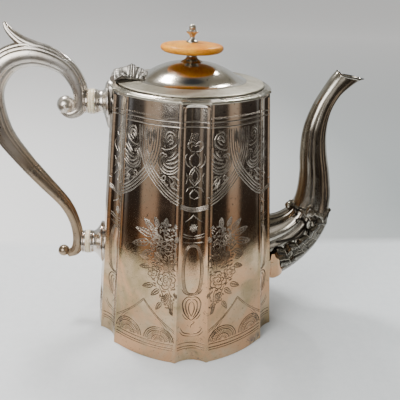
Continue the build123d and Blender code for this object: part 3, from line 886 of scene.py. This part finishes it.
def engrave_body():
    """Engraves the whole body as four pieces. The bouquets are beside the front and back flutes."""
    rng = random.Random(SEED)
    upper, scrolls, lower, flowers = Engraver(), Engraver(), Engraver(), Engraver()
    engrave_bands(upper)
    engrave_arches(upper)
    engrave_drops(upper)
    engrave_scrolls(scrolls, rng)
    engrave_flutes(lower)
    engrave_fans(lower)
    for flute in (1, 4):
        for side in (-1, 1):
            spray = Engraver()
            engrave_bouquet(spray, flute_angle(flute), side, rng)
            flowers.strokes += spray.strokes
    make_strokes("engraved_arches", upper, 1.15)
    make_strokes("engraved_scrolls", scrolls, 1.3)
    make_strokes("engraved_flutes_and_foot", lower, 1.25)
    make_strokes("engraved_bouquets", flowers, 1.35)


engrave_body()

# ---------------------------------------------------------------- handle
# Rows of x, z and width in mm.
HANDLE = [
    (-87.5, 161.0, 4.5), (-82.0, 158.6, 6.5), (-76.0, 161.8, 8.0), (-74.2, 169.0, 9.4), (-75.4, 178.5, 10.6),
    (-82.0, 189.3, 11.8), (-92.8, 195.6, 13.8), (-106.0, 197.8, 15.6), (-120.0, 193.2, 16.2),
    (-130.0, 181.0, 16.2), (-132.4, 166.0, 15.0), (-127.6, 145.0, 13.3), (-116.2, 126.2, 11.5),
    (-103.3, 109.2, 10.3), (-90.0, 92.2, 8.6), (-84.0, 78.0, 7.6), (-82.0, 64.0, 7.8), (-84.2, 53.2, 7.6),
    (-90.5, 49.6, 5.6),
]
# Grooves between the handle's reeds: angle round the section, depth and width.
GROOVES = ((2.52, 0.13, 0.12), (2.12, 0.09, 0.09), (0.95, 0.10, 0.10), (0.62, 0.05, 0.07))
# Rows of x, z, half height and half width in mm.
THUMB_REST = [
    (-84.0, 194.0, 2.0, 3.0), (-92.0, 199.6, 3.0, 3.6), (-101.0, 202.0, 3.6, 4.0), (-109.0, 205.2, 3.5, 3.7),
    (-114.6, 209.6, 2.7, 3.2), (-117.9, 213.8, 1.9, 2.6), (-119.3, 217.3, 0.9, 1.4),
]


def reeds(phi):
    side = folded(phi)
    return 1.03 - sum(depth * gauss(side, place, width) for place, depth, width in GROOVES)


def keel(phi):
    side = folded(phi)
    return 1.0 + 0.10 * math.cos(2 * side) - 0.12 * gauss(side, 1.5, 0.35)


def ball(name, x, z, radius, stretch):
    """Ball at the end of the handle's scroll, stretched along Y."""
    profile = [(radius * math.sin(t) * MM + 1e-6, -radius * stretch * math.cos(t) * MM)
               for t in np.linspace(0.02, math.pi - 0.02, 28)]
    return lay_down(lathe(name, profile, 48), (x, 0, z), "X")


def make_handle():
    control = [(x * MM, z * MM, w / 2 * MM, w / 2 * 0.86 * MM) for x, z, w in HANDLE]
    return join("handle_reeded", [sweep("handle_reeded", smooth_path(control, 230), reeds, 112),
                                  ball("upper_curl", -84.4, 165.0, 6.0, 1.02),
                                  ball("upper_curl_tip", -84.4, 165.0, 3.0, 2.25),
                                  ball("lower_curl", -93.4, 52.4, 4.2, 1.0)])


def make_thumb_rest():
    return sweep("thumb_leaf", smooth_path(np.array(THUMB_REST) * MM, 60), keel, 56)


finish_piece(make_handle(), "pot", "cast_silver", handle_silver, "handle_scroll")
finish_piece(make_thumb_rest(), "pot", "cast_silver", handle_silver, "thumb_rest")

# ---------------------------------------------------------------- spout
# Rows of x, z, half height and half width in mm, and the direction of the path in degrees.
SPOUT = [
    (60.0, 53.0, 27.0, 13.0, 8.0), (72.0, 59.0, 24.0, 12.8, 26.0), (84.0, 68.5, 20.0, 12.4, 46.0),
    (92.5, 81.5, 16.0, 11.8, 68.0), (95.2, 97.0, 13.2, 11.0, 88.0), (94.0, 116.0, 10.9, 9.8, 96.0),
    (91.0, 134.0, 9.5, 8.8, 97.0), (90.3, 150.0, 8.3, 7.9, 86.0), (93.3, 165.0, 7.0, 7.0, 70.0),
    (98.6, 176.5, 6.7, 6.6, 58.0), (104.6, 184.6, 7.6, 6.6, 46.0), (112.4, 191.2, 8.0, 6.2, 32.0),
    (121.0, 195.0, 8.2, 5.2, 20.0), (128.0, 196.6, 8.2, 4.6, 12.0),
]
SPOUT_PATH = smooth_path(SPOUT, 300)
SPOUT_LENGTH = 190.0                # mm along the path
SPOUT_WALL = 1.2                    # mm
SPOUT_RADIUS = 12.0                 # mm, a middling radius, by which cord turns phi into a length
TUBE_AROUND, TUBE_ROWS = 120, 260   # points round the spout and along it
MOUTH_SHARE = 0.8                   # share of the rows before those that close up on the mouth
MOUTH_X = [98.0, 100.9, 102.6, 105.6, 111.0, 117.0, 124.4, 142.0]
MOUTH_Z = [215.0, 192.0, 189.6, 188.4, 187.9, 187.0, 185.8, 185.2]


def spout_point(row, phi, grow):
    """Point on the spout in mm. phi is 0 on the side towards the top of the pot, pi on the outer curve."""
    x, z, high, wide, direction = row
    a = math.radians(direction)
    up, side = (high + grow) * math.cos(phi), (wide + grow) * math.sin(phi)
    return np.array([x - math.sin(a) * up, side, z + math.cos(a) * up])


def spout_relief(phi, z):
    """How far, in mm, reeds and ridges stand out of the spout."""
    side = folded(phi)
    root = 1 - clamped((z - 84) / 12)
    reed = 0.75 * max(0.0, math.cos(2 * math.pi * (side - 0.34) / 0.36)) ** 0.7 if 0.2 < side < 1.85 else 0
    neck = clamped((z - 90) / 10) * (1 - clamped((z - 150) / 32))
    ridge = 0.62 * abs(math.cos(side * 3.5 + 0.25)) ** 0.6 - 0.3
    spine = 0.5 * gauss(side, 2.3, 0.16) * clamped((z - 100) / 10)
    return root * reed + neck * ridge + spine


def wall_conformed(point):
    """Pushes a point that lies inside the body out into the middle of the wall."""
    x, y, z = point
    reach = math.hypot(x, y)
    wall_here = wall_radius(math.atan2(y, x), min(max(z, 0), 179) * MM) / MM - 0.5
    if reach < wall_here:
        x, y = x * wall_here / reach, y * wall_here / reach
    return (x * MM, y * MM, z * MM)


def path_row(s):
    """Row of the spout's path at a fraction of its length."""
    spot = clamped(s) * (len(SPOUT_PATH) - 1)
    low = min(int(spot), len(SPOUT_PATH) - 2)
    return SPOUT_PATH[low] + (SPOUT_PATH[low + 1] - SPOUT_PATH[low]) * (spot - low)


def mouth_end(phi, grow):
    """Fraction of the path at which the line at phi meets the slanting mouth."""
    for s in np.linspace(0.70, 1.0, 180):
        x, y, z = spout_point(path_row(s), phi, grow)
        if x > MOUTH_X[0] and z > np.interp(x, MOUTH_X, MOUTH_Z):
            return s
    return 1.0


def spout_tube(grow, relief):
    """Points of the spout's outside or inside. The last rows close up on the mouth."""
    angles = [2 * math.pi * j / TUBE_AROUND for j in range(TUBE_AROUND)]
    ends = np.array([mouth_end(phi, grow) for phi in angles])
    ends = (ends + np.roll(ends, 1) + np.roll(ends, -1)) / 3
    split = ends.min() - 0.03
    points = []
    for t in np.linspace(0, 1, TUBE_ROWS):
        bead = 0.35 * gauss(t, 0.985, 0.012)
        for end, phi in zip(ends, angles):
            s = split * t / MOUTH_SHARE
            if t >= MOUTH_SHARE:
                s = split + (end - split) * (t - MOUTH_SHARE) / (1 - MOUTH_SHARE)
            row = path_row(s)
            carved = spout_relief(phi, row[1]) if relief else 0
            points.append(wall_conformed(spout_point(row, phi, grow + bead + carved)))
    return points


def make_spout():
    """Hollow spout: outside, inside, and rings of faces that join them at both ends."""
    outer = spout_tube(0.0, True)
    inner = spout_tube(-SPOUT_WALL, False)
    count = len(outer)
    faces = grid_faces(TUBE_ROWS, TUBE_AROUND, wrap_columns=True)
    faces += grid_faces(TUBE_ROWS, TUBE_AROUND, wrap_columns=True, flip=True, start=count)
    last = count - TUBE_AROUND
    for j in range(TUBE_AROUND):
        k = (j + 1) % TUBE_AROUND
        faces.append((last + j, last + k, count + last + k, count + last + j))
        faces.append((k, j, count + j, count + k))
    return make_object("spout_cast", outer + inner, faces)


finish_piece(make_spout(), "pot", "cast_silver", dark_cast, "spout_elbow", "spout_neck")


def patch(name, along, across, place):
    """Raised patch on the spout: place(u, v) gives path fraction, phi and height in mm above the spout."""
    points = []
    for u in np.linspace(0, 1, along):
        for v in np.linspace(-1, 1, across):
            s, phi, lift = place(u, v)
            row = SPOUT_PATH[int(round(clamped(s) * (len(SPOUT_PATH) - 1)))]
            points.append(wall_conformed(spout_point(row, phi, spout_relief(phi, row[1]) * 0.3 + lift)))
    return make_object(name, points, grid_faces(along, across))


def lobe(name, start, reach, turn, half, lift, veins, curl):
    """Leaf lobe on the spout. start is path fraction and phi, lengths are in mm, turn is from the path."""
    rows, across = 26, 23
    c, d = math.cos(math.radians(turn)), math.sin(math.radians(turn))
    points = []
    for u in np.linspace(0, 1, rows):
        width = half * math.sin(math.pi * min(0.985, 0.06 + 0.94 * u) ** 0.75) ** 0.8
        for v in np.linspace(-1, 1, across):
            notch = 1 + 0.10 * math.cos(5 * math.pi * u) * abs(v) ** 3
            along, over = reach * u, width * v * notch
            row = path_row(start[0] + (along * c - over * d) / SPOUT_LENGTH)
            phi = start[1] + (along * d + over * c) / max(4.0, (row[2] + row[3]) / 2)
            dome = (1 - abs(v) ** 2.2) * math.sin(math.pi * min(1.0, 0.12 + 0.86 * u)) ** 0.5
            ridge = 0.42 * math.cos(math.pi * veins * v) * (1 - abs(v) ** 3) * min(1.0, 4 * (1 - u))
            height = lift * dome + ridge + curl * gauss(u, 0.86, 0.13) * (1 - v * v) - 0.5 * abs(v) ** 6
            points.append(wall_conformed(spout_point(row, phi, height)))
    return make_object(name, points, grid_faces(rows, across))


def cord(name, route, radius):
    """Tapering round moulding laid on the spout along a route of path fraction, phi and height in mm."""
    around = 14
    rows = smooth_path([(s * SPOUT_LENGTH, phi * SPOUT_RADIUS, lift) for s, phi, lift in route], 56)
    line = np.array([spout_point(path_row(s / SPOUT_LENGTH), phi / SPOUT_RADIUS, lift)
                     for s, phi, lift in rows])
    points = []
    for place, forward, t in zip(line, directions(line), np.linspace(0, 1, len(line))):
        r = radius * (0.35 + 0.65 * math.sin(math.pi * min(1.0, 0.1 + 0.85 * t)))
        side = np.cross(forward, (0.0, 0.3, 1.0))
        side /= np.linalg.norm(side)
        up = np.cross(side, forward)
        for a in np.linspace(0, 2 * math.pi, around, endpoint=False):
            points.append(wall_conformed(place + r * (math.cos(a) * side + math.sin(a) * up)))
    faces = grid_faces(len(line), around, wrap_columns=True) + end_caps(len(points), around)
    return make_object(name, points, faces)


# Routes on one side of the spout: path fraction, phi and height in mm. The bract's phi is counted from pi.
BRACT = [(0.06, 1.86, 0.2), (0.11, 1.76, 1.0), (0.17, 1.62, 1.4), (0.222, 1.70, 1.5), (0.240, 1.98, 1.6),
         (0.224, 2.18, 1.5), (0.208, 2.00, 1.3)]
STEM = [(0.222, 0.72, 0.3), (0.245, 0.80, 1.0), (0.268, 0.66, 1.5), (0.280, 0.40, 1.7), (0.272, 0.18, 1.8)]


def leafage(u, v):
    """Veined middle of the acanthus leaf, for patch."""
    side = abs(v)
    scallop = abs(math.sin(math.pi * 4.5 * u)) ** 0.6
    half = (1.78 - 0.42 * u) * (0.90 + 0.10 * scallop)
    flow = 0.55 * abs(math.cos(math.pi * (3.6 * side + 0.5 * math.sin(2.2 * u)))) ** 0.8
    midrib = 0.9 * gauss(side, 0.0, 0.10) * (0.4 + 0.6 * scallop)
    lip = (0.5 + 0.9 * scallop) * gauss(side, 0.88, 0.09)
    hollow = -0.9 * gauss(side, 0.70, 0.10)
    cover = min(1.0, u * 10 + 0.1) * min(1.0, (1 - u) * 12)
    height = (0.9 + flow + midrib + lip + hollow) * cover
    return 0.030 + 0.245 * u, math.pi + v * half, height if side < 0.99 and u < 0.995 else -0.5


def make_acanthus():
    """Leaf wrapped under the elbow, veined along its length, its lobes curling out along both edges."""
    parts = [patch("leafage", 150, 141, leafage)]
    for side in (-1, 1):
        for k in range(4):
            start = (0.085 + 0.046 * k, math.pi + side * (1.40 - 0.06 * k))
            parts.append(lobe("curl", start, 9.0, side * 30, 2.7, 1.3, 2, 1.2))
        parts.append(cord("bract", [(s, math.pi + side * phi, lift) for s, phi, lift in BRACT], 1.35))
    for k in range(5):
        parts.append(lobe("keel_lobe", (0.070 + 0.044 * k, math.pi), 10.0, 0, 2.4, 1.5, 1, 1.6))
    return join("acanthus_leaf", parts)


def collar_band(u, v):
    """Rolled band of the leaf collar, for patch."""
    phi = v * 2.35
    side = abs(phi)
    s = 0.258 + 0.030 * u + 0.012 * math.sin(side * 1.4)
    roll = math.sin(math.pi * u) ** 0.6
    fade = min(1.0, (1 - abs(v)) * 8)
    return s, phi, (0.9 + 0.5 * math.cos(side * 9) ** 2) * roll * fade - 0.35 * (1 - roll)


def make_collar():
    """Leaf collar where the elbow meets the neck: a rolled band, leaves on each side, an inner curl."""
    parts = [patch("band", 24, 161, collar_band)]
    for side in (-1, 1):
        for turn, reach, half in ((-38, 9.0, 2.6), (0, 11.5, 3.1), (38, 9.0, 2.6)):
            parts.append(lobe("trefoil", (0.262, side * 1.28), reach, turn, half, 1.6, 1, 0.8))
        parts.append(lobe("trefoil_low", (0.282, side * 1.28), 8.5, 180 - side * 30, 2.6, 1.5, 1, 0.6))
        parts.append(lobe("outer_leaf", (0.256, side * 2.25), 10.0, side * 14, 3.2, 1.2, 2, 0.9))
        parts.append(cord("stem", [(s, side * phi, lift) for s, phi, lift in STEM], 1.2))
    for turn in (-28, 28):
        parts.append(lobe("inner_leaf", (0.262, 0.0), 9.0, turn, 2.7, 1.4, 1, 1.0))
    knob = turned("inner_curl", [(0.05, -2.9), (1.9, -2.3), (2.9, 0.0), (1.9, 2.3), (0.05, 2.9)], 18, 24)
    lay_down(knob, spout_point(path_row(0.268), 0.0, 1.6), "X")
    return join("leaf_collar", parts + [knob])


def make_shield():
    """Smooth pointed patch under the foot of the spout, lapping onto the body."""
    points = []
    rows, across = 60, 81
    for u in np.linspace(0, 1, rows):
        z = 55.0 - 26.5 * u
        half = 22.5 * (1 - u ** 2.4) ** 0.7 + 0.05
        swell = min(10.5, max(0.0, (z - 28.6) * 1.9))
        for v in np.linspace(-1, 1, across):
            side = abs(v)
            angle = math.radians(v * half)
            proud = 1.9 * (1 - side ** 5) * (1 - u ** 8)
            proud += swell * math.sqrt(max(0.0, 1 - (v * half / 12.6) ** 2)) ** 1.2
            proud -= 0.6 if side > 0.99 or u > 0.99 else 0
            points.append(round_point(wall_radius(angle, z * MM) + proud * MM, angle, z * MM))
    return make_object("spout_foot_shield", points, grid_faces(rows, across, flip=True))


finish_piece(make_acanthus(), "pot", "cast_silver", leaf_cast, "spout_acanthus")
finish_piece(make_collar(), "pot", "cast_silver", dark_cast, "spout_collar")
finish_piece(make_shield(), "pot", "cast_silver", body_silver, "spout_shield")

# ---------------------------------------------------------------- sockets, ferrules and insulators
UPPER_MOUNT, LOWER_MOUNT = 167.5, 60.0      # mm, heights of the handle's two mounts
PILASTER_FOOT, PILASTER_TOP = 149.2, 182.2  # mm
# x and radius in mm.
COLLAR_PROFILE = [
    (-64.6, 5.2), (-64.6, 7.9), (-64.2, 8.2), (-63.4, 8.0), (-61.5, 7.4), (-59.6, 7.6), (-58.2, 8.8),
    (-57.0, 10.6), (-55.5, 11.4),
]
FLARE_PROFILE = [
    (-72.8, 5.2), (-72.8, 8.3), (-72.3, 8.6), (-71.2, 8.4), (-70.2, 8.2), (-69.0, 8.8), (-67.4, 10.4),
    (-65.6, 13.2), (-64.6, 15.2), (-63.9, 15.6), (-62.9, 15.3), (-58.0, 14.9),
]


def lathe_x(name, profile, z, around=72):
    """Turned piece about an axis along X at height z, from x and radius points in mm."""
    upright = lathe(name, [(r * MM, x * MM) for x, r in profile], around)
    return lay_down(upright, (0, 0, z), "Y")


def make_pilaster():
    """Rounded upright against the wall behind the upper insulator, with a pointed drop."""
    points = []
    for z in np.linspace(PILASTER_FOOT, PILASTER_TOP, 70):
        top = math.sqrt(max(0.0, 1 - max(0.0, (z - 177.0) / 5.2) ** 2))
        drop = clamped((z - PILASTER_FOOT) / 11.0)
        wide = 6.6 * top * (0.10 + 0.90 * drop ** 0.8) + 0.05
        deep = 4.6 * (0.35 + 0.65 * top) * (0.25 + 0.75 * drop)
        deep += 0.25 * gauss(z, 172.5, 0.7) - 0.5 * gauss(z, 171.3, 0.6)
        base = rib_radius(z * MM) / MM * PANEL_RATIO - 0.8
        for a in np.linspace(-math.pi / 2, math.pi / 2, 33):
            stand = (deep + 0.8) * math.cos(a) ** 0.8 if abs(a) < 1.57 else 0
            points.append((-(base + stand) * MM, wide * math.sin(a) * MM, z * MM))
    return make_object("upper_pilaster", points, grid_faces(70, 33))


def make_upper_socket():
    collar = lathe_x("upper_collar", smooth_path(COLLAR_PROFILE, 50), UPPER_MOUNT)
    return join("upper_socket_cast", [make_pilaster(), collar])


def make_lower_socket():
    flare = lathe_x("lower_flare", smooth_path(FLARE_PROFILE, 70), LOWER_MOUNT, 96)
    for vertex in flare.data.vertices:
        vertex.co = Vector(wall_conformed([value / MM for value in vertex.co]))
    return flare


def make_ferrule(name, x_far, x_near, z, radius):
    """Cup with a rounded bead at each end."""
    middle = (x_far + x_near) / 2
    profile = [(x_far, 5.0), (x_far, radius - 0.5), (x_far + 0.4, radius), (x_far + 0.8, radius - 0.45),
               (middle, radius - 0.6), (x_near - 0.8, radius - 0.4), (x_near - 0.4, radius),
               (x_near, radius - 0.4), (x_near, 5.0)]
    return lathe_x(name, profile, z)


def make_insulator(name, x_far, x_near, z, radius):
    """Ring with rounded edges and a groove round its middle."""
    middle = (x_far + x_near) / 2
    profile = [(x_far, 4.9), (x_far, radius - 0.5), (x_far + 0.35, radius + 0.05),
               (middle - 0.5, radius + 0.25), (middle - 0.25, radius - 0.15), (middle, radius + 0.25),
               (x_near - 0.35, radius + 0.05), (x_near, radius - 0.5), (x_near, 4.9)]
    return lathe_x(name, profile, z)


finish_piece(make_upper_socket(), "pot", "cast_silver", handle_silver, "upper_socket")
finish_piece(make_lower_socket(), "pot", "cast_silver", cast_silver, "lower_socket")
upper_ferrule = make_ferrule("upper_ferrule_cast", -72.3, -69.0, UPPER_MOUNT, 8.2)
lower_ferrule = make_ferrule("lower_ferrule_cast", -79.2, -76.3, LOWER_MOUNT, 8.6)
upper_ring = make_insulator("upper_bone_ring", -69.0, -64.6, UPPER_MOUNT, 8.2)
lower_ring = make_insulator("lower_bone_ring", -76.3, -72.8, LOWER_MOUNT, 8.6)
finish_piece(upper_ferrule, "pot", "cast_silver", cast_silver, "upper_ferrule")
finish_piece(lower_ferrule, "pot", "cast_silver", cast_silver, "lower_ferrule")
finish_piece(upper_ring, "pot", "insulator_bone", insulator_bone, "upper_insulator")
finish_piece(lower_ring, "pot", "insulator_bone", insulator_bone, "lower_insulator")

# ---------------------------------------------------------------- hinge leaf
SPINE_X = -39.8                     # mm, the ridge of the leaf over the hinge
HINGE_HALF_WIDTH = 12.3             # mm
LEAF_THICKNESS = 1.1                # mm
HINGE_FOOT = [(0.05, 184.0), (1.5, 184.2), (1.7, 185.4), (1.3, 186.9), (0.05, 187.6)]


def hinge_leaf_point(u, v):
    """Point in mm on top of the leaf: u runs from the handle to the lid, v from side to side."""
    rise = max(0.0, 1 - abs(v) ** 1.4)
    peak = 185.6 + 7.2 * rise
    if u < 0:
        edge_x, edge_z, curve = -50.6 - 1.2 * rise, 185.0 + 4.2 * rise, 0.85
        beads = 0.30 * abs(math.sin(v * 14)) * gauss(u, -0.84, 0.08) + 0.25 * gauss(u, -0.60, 0.06)
    else:
        edge_x, edge_z, curve = -31.0 + 1.6 * rise, 185.6 + 2.6 * rise, 1.1
        beads = 0.25 * gauss(u, 0.45, 0.06) + 0.25 * gauss(u, 0.68, 0.06)
    gable = 2.6 * gauss(v, -1.0, 0.4) * max(0.0, 1 - abs((u + 0.55) / 0.4))
    spine = 0.7 * gauss(u, 0.0, 0.06) + 0.45 * gauss(u, -0.16, 0.05) + 0.45 * gauss(u, 0.16, 0.05)
    x = SPINE_X + (edge_x - SPINE_X) * abs(u)
    z = peak + (edge_z - peak) * abs(u) ** curve + beads + gable + spine
    return x, HINGE_HALF_WIDTH * v, z


def make_hinge_cover():
    """Cast leaf over the hinge: a ribbed spine, a beaded wing to the handle, a lined wing to the lid."""
    across, along = 91, 81
    points = []
    for drop in (0.0, LEAF_THICKNESS):
        for v in np.linspace(-1, 1, along):
            for u in np.linspace(-1, 1, across):
                x, y, z = hinge_leaf_point(u, v)
                points.append((x * MM, y * MM, (z - drop) * MM))
    count = along * across
    faces = grid_faces(along, across) + grid_faces(along, across, flip=True, start=count)
    rim = list(range(across)) + [i * across + across - 1 for i in range(1, along)]
    rim += [(along - 1) * across + i for i in reversed(range(across - 1))]
    rim += [i * across for i in reversed(range(1, along - 1))]
    for here, after in zip(rim, rim[1:] + rim[:1]):
        faces.append((here, here + count, after + count, after))
    parts = [make_object("hinge_leaf", points, faces)]
    for x, y in ((-39.9, 10.4), (-32.5, 10.2)):
        for side in (-1, 1):
            parts.append(turned("foot", HINGE_FOOT, 14, 20, (x * MM, side * y * MM)))
    return join("hinge_leaf", parts)


finish_piece(make_hinge_cover(), "lid", "cast_silver", worn_cast, "hinge_cover")

# ---------------------------------------------------------------- carried-over CAD nodes
fittings = ("cross_pins", "hinge_body_leaf", "hinge_lid_leaf", "hinge_pin", "finial_washer", "finial_nut")
coats = dict.fromkeys(fittings, fitting_metal)
coats.update(dict.fromkeys(("base_plate", "lid_bezel"), inner_silver))
coats.update(dict.fromkeys(("upper_insulator", "lower_insulator"), insulator_bone))
for node_name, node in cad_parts.items():
    node.data.materials.clear()
    node.data.materials.append(coats.get(node_name, cast_silver))

# ---------------------------------------------------------------- stage, light and camera
TURN = math.radians(4.34)           # how far the pot is turned on the table
PITCH, ROLL, YAW = math.radians(23.83), math.radians(2.28), math.radians(1.49)
CAMERA_BACK, CAMERA_UP = 355.5 * MM, 251.4 * MM
SENSOR, LENS = 36, 46.8             # mm
NEAR_FLOOR, FAR_FLOOR, FLOOR_Z = 0.235, 9.0, -0.0002    # metres
FLOOR_SIDES = 96


def place_camera():
    forward = Vector((math.sin(YAW) * math.cos(PITCH), math.cos(YAW) * math.cos(PITCH), -math.sin(PITCH)))
    right = Vector((math.cos(YAW), -math.sin(YAW), 0))
    up = right.cross(forward)
    tilted = right * math.cos(ROLL) + up * math.sin(ROLL)
    top = up * math.cos(ROLL) - right * math.sin(ROLL)
    turn_back = Matrix.Rotation(-TURN, 3, "Z")
    axes = turn_back @ Matrix((tilted, top, -forward)).transposed()
    data = bpy.data.cameras.new("camera")
    data.sensor_width = SENSOR
    data.lens = LENS
    camera = bpy.data.objects.new("camera", data)
    bpy.context.scene.collection.objects.link(camera)
    place = turn_back @ Vector((0, -CAMERA_BACK, CAMERA_UP))
    camera.matrix_world = Matrix.Translation(place) @ axes.to_4x4()
    bpy.context.scene.camera = camera


def floor_ring(radius):
    return [round_point(radius, 2 * math.pi * k / FLOOR_SIDES, FLOOR_Z) for k in range(FLOOR_SIDES)]


def floor_material():
    """Pale floor. Behind the pot it is lighter to the left and darker to the right, a painted shade, then
    pale again far off, which is painted light that makes up for the lamps' falloff.
    """
    material, tree = new_material("pale_floor")
    place = tree.place()
    fibre = tree.noise(place, 160, 6, 0.7)
    near_left = tree.mix(fibre, (0.55, 0.56, 0.575), (0.68, 0.685, 0.69))
    near_right = tree.mix(fibre, (0.55, 0.595, 0.62), (0.70, 0.73, 0.74))
    far_left = tree.mix(fibre, (0.78, 0.77, 0.765), (0.84, 0.83, 0.825))
    # painted shade: the floor behind the pot goes dark to the right
    far_right_painted_shade = tree.mix(fibre, (0.27, 0.30, 0.305), (0.31, 0.335, 0.34))
    x, y, z = tree.split(place)
    sideways = tree.spread(x, -0.3, 0.3)
    near = tree.mix(sideways, near_left, near_right)
    far = tree.mix(sideways, far_left, far_right_painted_shade)
    # painted light: far off, the floor turns paler, making up for the lamps' falloff
    far = tree.mix(tree.spread(y, 0.2, 2.0, 0, 0.85), far, (0.93, 0.93, 0.94))
    tree.surface({"Base Color": tree.mix(tree.spread(y, 0.10, 0.115), near, far), "Roughness": 0.9})
    return material


def make_floor():
    """Floor under the pot, and the rest of it, which the silver doesn't reflect."""
    ring, edge = floor_ring(NEAR_FLOOR), floor_ring(FAR_FLOOR)
    near = make_object("floor_near", ring, [tuple(range(FLOOR_SIDES))], False)
    far_faces = grid_faces(2, FLOOR_SIDES, wrap_columns=True, flip=True)
    far = make_object("floor_far", ring + edge, far_faces, False)
    far.visible_glossy = False
    pale = floor_material()
    for plane in (near, far):
        plane.data.materials.append(pale)


# Area lights: name, place, what it points at, side, watts, colour, and whether the silver reflects it.
# Those that it reflects are hidden from the camera.
LIGHTS = [
    ("key", (-0.6, 0.1, 1.5), (0, 0.2, 0.0), 1.2, 12, (1, 0.985, 0.96), False),
    ("fill", (0.9, 0.3, 1.4), (0, 0.2, 0.0), 1.2, 5, (0.94, 0.98, 1), False),
    ("window_left", (-0.2225, 0.217, 0.650), (0, 0, 0.19), 0.10, 3.6, (1, 1, 1), True),
    ("window_right", (0.188, 0.371, 0.555), (0, 0, 0.19), 0.05, 0.9, (1, 1, 1), True),
    ("front", (-0.42, -0.40, 0.62), (-0.08, -0.02, 0.14), 0.30, 2.8, (1, 0.99, 0.97), False),
    ("handle_sheen", (-0.26, -0.34, 0.31), (-0.10, -0.01, 0.18), 0.28, 1.4, (1, 1, 1), True),
]


def make_light(name, kind, power):
    data = bpy.data.lights.new(name, kind)
    data.energy = power
    light = bpy.data.objects.new(name, data)
    bpy.context.scene.collection.objects.link(light)
    return light


def area_light(name, place, aim, side, power, colour, reflected):
    light = make_light(name, "AREA", power)
    light.data.size = side
    light.data.color = colour
    light.location = place
    light.rotation_euler = (Vector(aim) - Vector(place)).to_track_quat("-Z", "Y").to_euler()
    light.visible_glossy = reflected
    light.visible_camera = not reflected


def sky_light():
    light = make_light("sky", "SUN", 1.5)
    light.data.angle = math.radians(70)
    light.rotation_euler = (math.radians(-14), math.radians(-12), 0)
    light.visible_glossy = False


# Colours of the room round the pot, by the part of a full turn at which each one holds.
DARK, STRIP, WALL = (0.036, 0.030, 0.026), (0.42, 0.335, 0.265), (0.55, 0.57, 0.57)
DIM_STRIP, COOL_STRIP = (0.23, 0.19, 0.155), (0.19, 0.20, 0.22)
LOW_ROOM = [(0.0, DARK), (0.040, DARK), (0.048, DIM_STRIP), (0.078, DIM_STRIP), (0.086, DARK), (0.126, DARK),
            (0.136, STRIP), (0.180, STRIP), (0.190, DARK), (0.232, DARK), (0.242, COOL_STRIP),
            (0.268, COOL_STRIP), (0.290, WALL), (0.712, WALL), (0.735, DARK), (0.805, DARK), (0.814, STRIP),
            (0.842, STRIP), (0.852, DARK), (0.915, DARK), (0.922, (0.13, 0.10, 0.07)), (0.935, DARK),
            (1.0, DARK)]
GAP, WINDOW, SHADE = (0.10, 0.085, 0.07), (0.80, 0.76, 0.72), (0.34, 0.33, 0.30)
HIGH_ROOM = [(0.0, WINDOW), (0.028, WINDOW), (0.036, GAP), (0.048, GAP), (0.056, WINDOW), (0.13, WINDOW),
             (0.15, GAP), (0.21, (0.4, 0.38, 0.36)), (0.27, WALL), (0.73, WALL), (0.77, (0.35, 0.33, 0.31)),
             (0.80, GAP), (0.88, SHADE), (0.925, SHADE), (0.935, GAP), (0.962, GAP), (0.97, WINDOW),
             (1.0, WINDOW)]
SLOPE, CEILING, BACKDROP = (0.235, 0.22, 0.185), (0.035, 0.04, 0.05), (0.62, 0.64, 0.64)


def room_world():
    """Room seen in the silver: pale wall behind, dark room with bright strips in front, dark ceiling."""
    world = bpy.data.worlds.new("room")
    bpy.context.scene.world = world
    tree = NodeTree(world)
    x, y, z = tree.split(tree.add("TexCoord", {}).outputs["Generated"])
    turn = tree.spread(tree.calc("ARCTAN2", x, y), -math.pi, math.pi)
    rise = tree.spread(z, -1, 1)
    colour = tree.mix(tree.mask(rise, 0.462, 0.52), tree.ramp(turn, LOW_ROOM), tree.ramp(turn, HIGH_ROOM))
    colour = tree.mix(tree.mask(rise, 0.66, 0.74), colour, SLOPE)
    colour = tree.mix(tree.mask(rise, 0.960, 0.978), colour, CEILING)
    room = tree.nodes["Background"]
    tree.feed(room, {"Color": colour, "Strength": 1.0})
    backdrop = tree.add("Background", {"Color": BACKDROP})
    seen = tree.add("LightPath", {}).outputs["Is Camera Ray"]
    chosen = tree.add("MixShader", {0: seen, 1: room.outputs[0], 2: backdrop.outputs[0]})
    tree.feed(tree.nodes["World Output"], {"Surface": chosen.outputs[0]})


place_camera()
make_floor()
for row in LIGHTS:
    area_light(*row)
sky_light()
room_world()
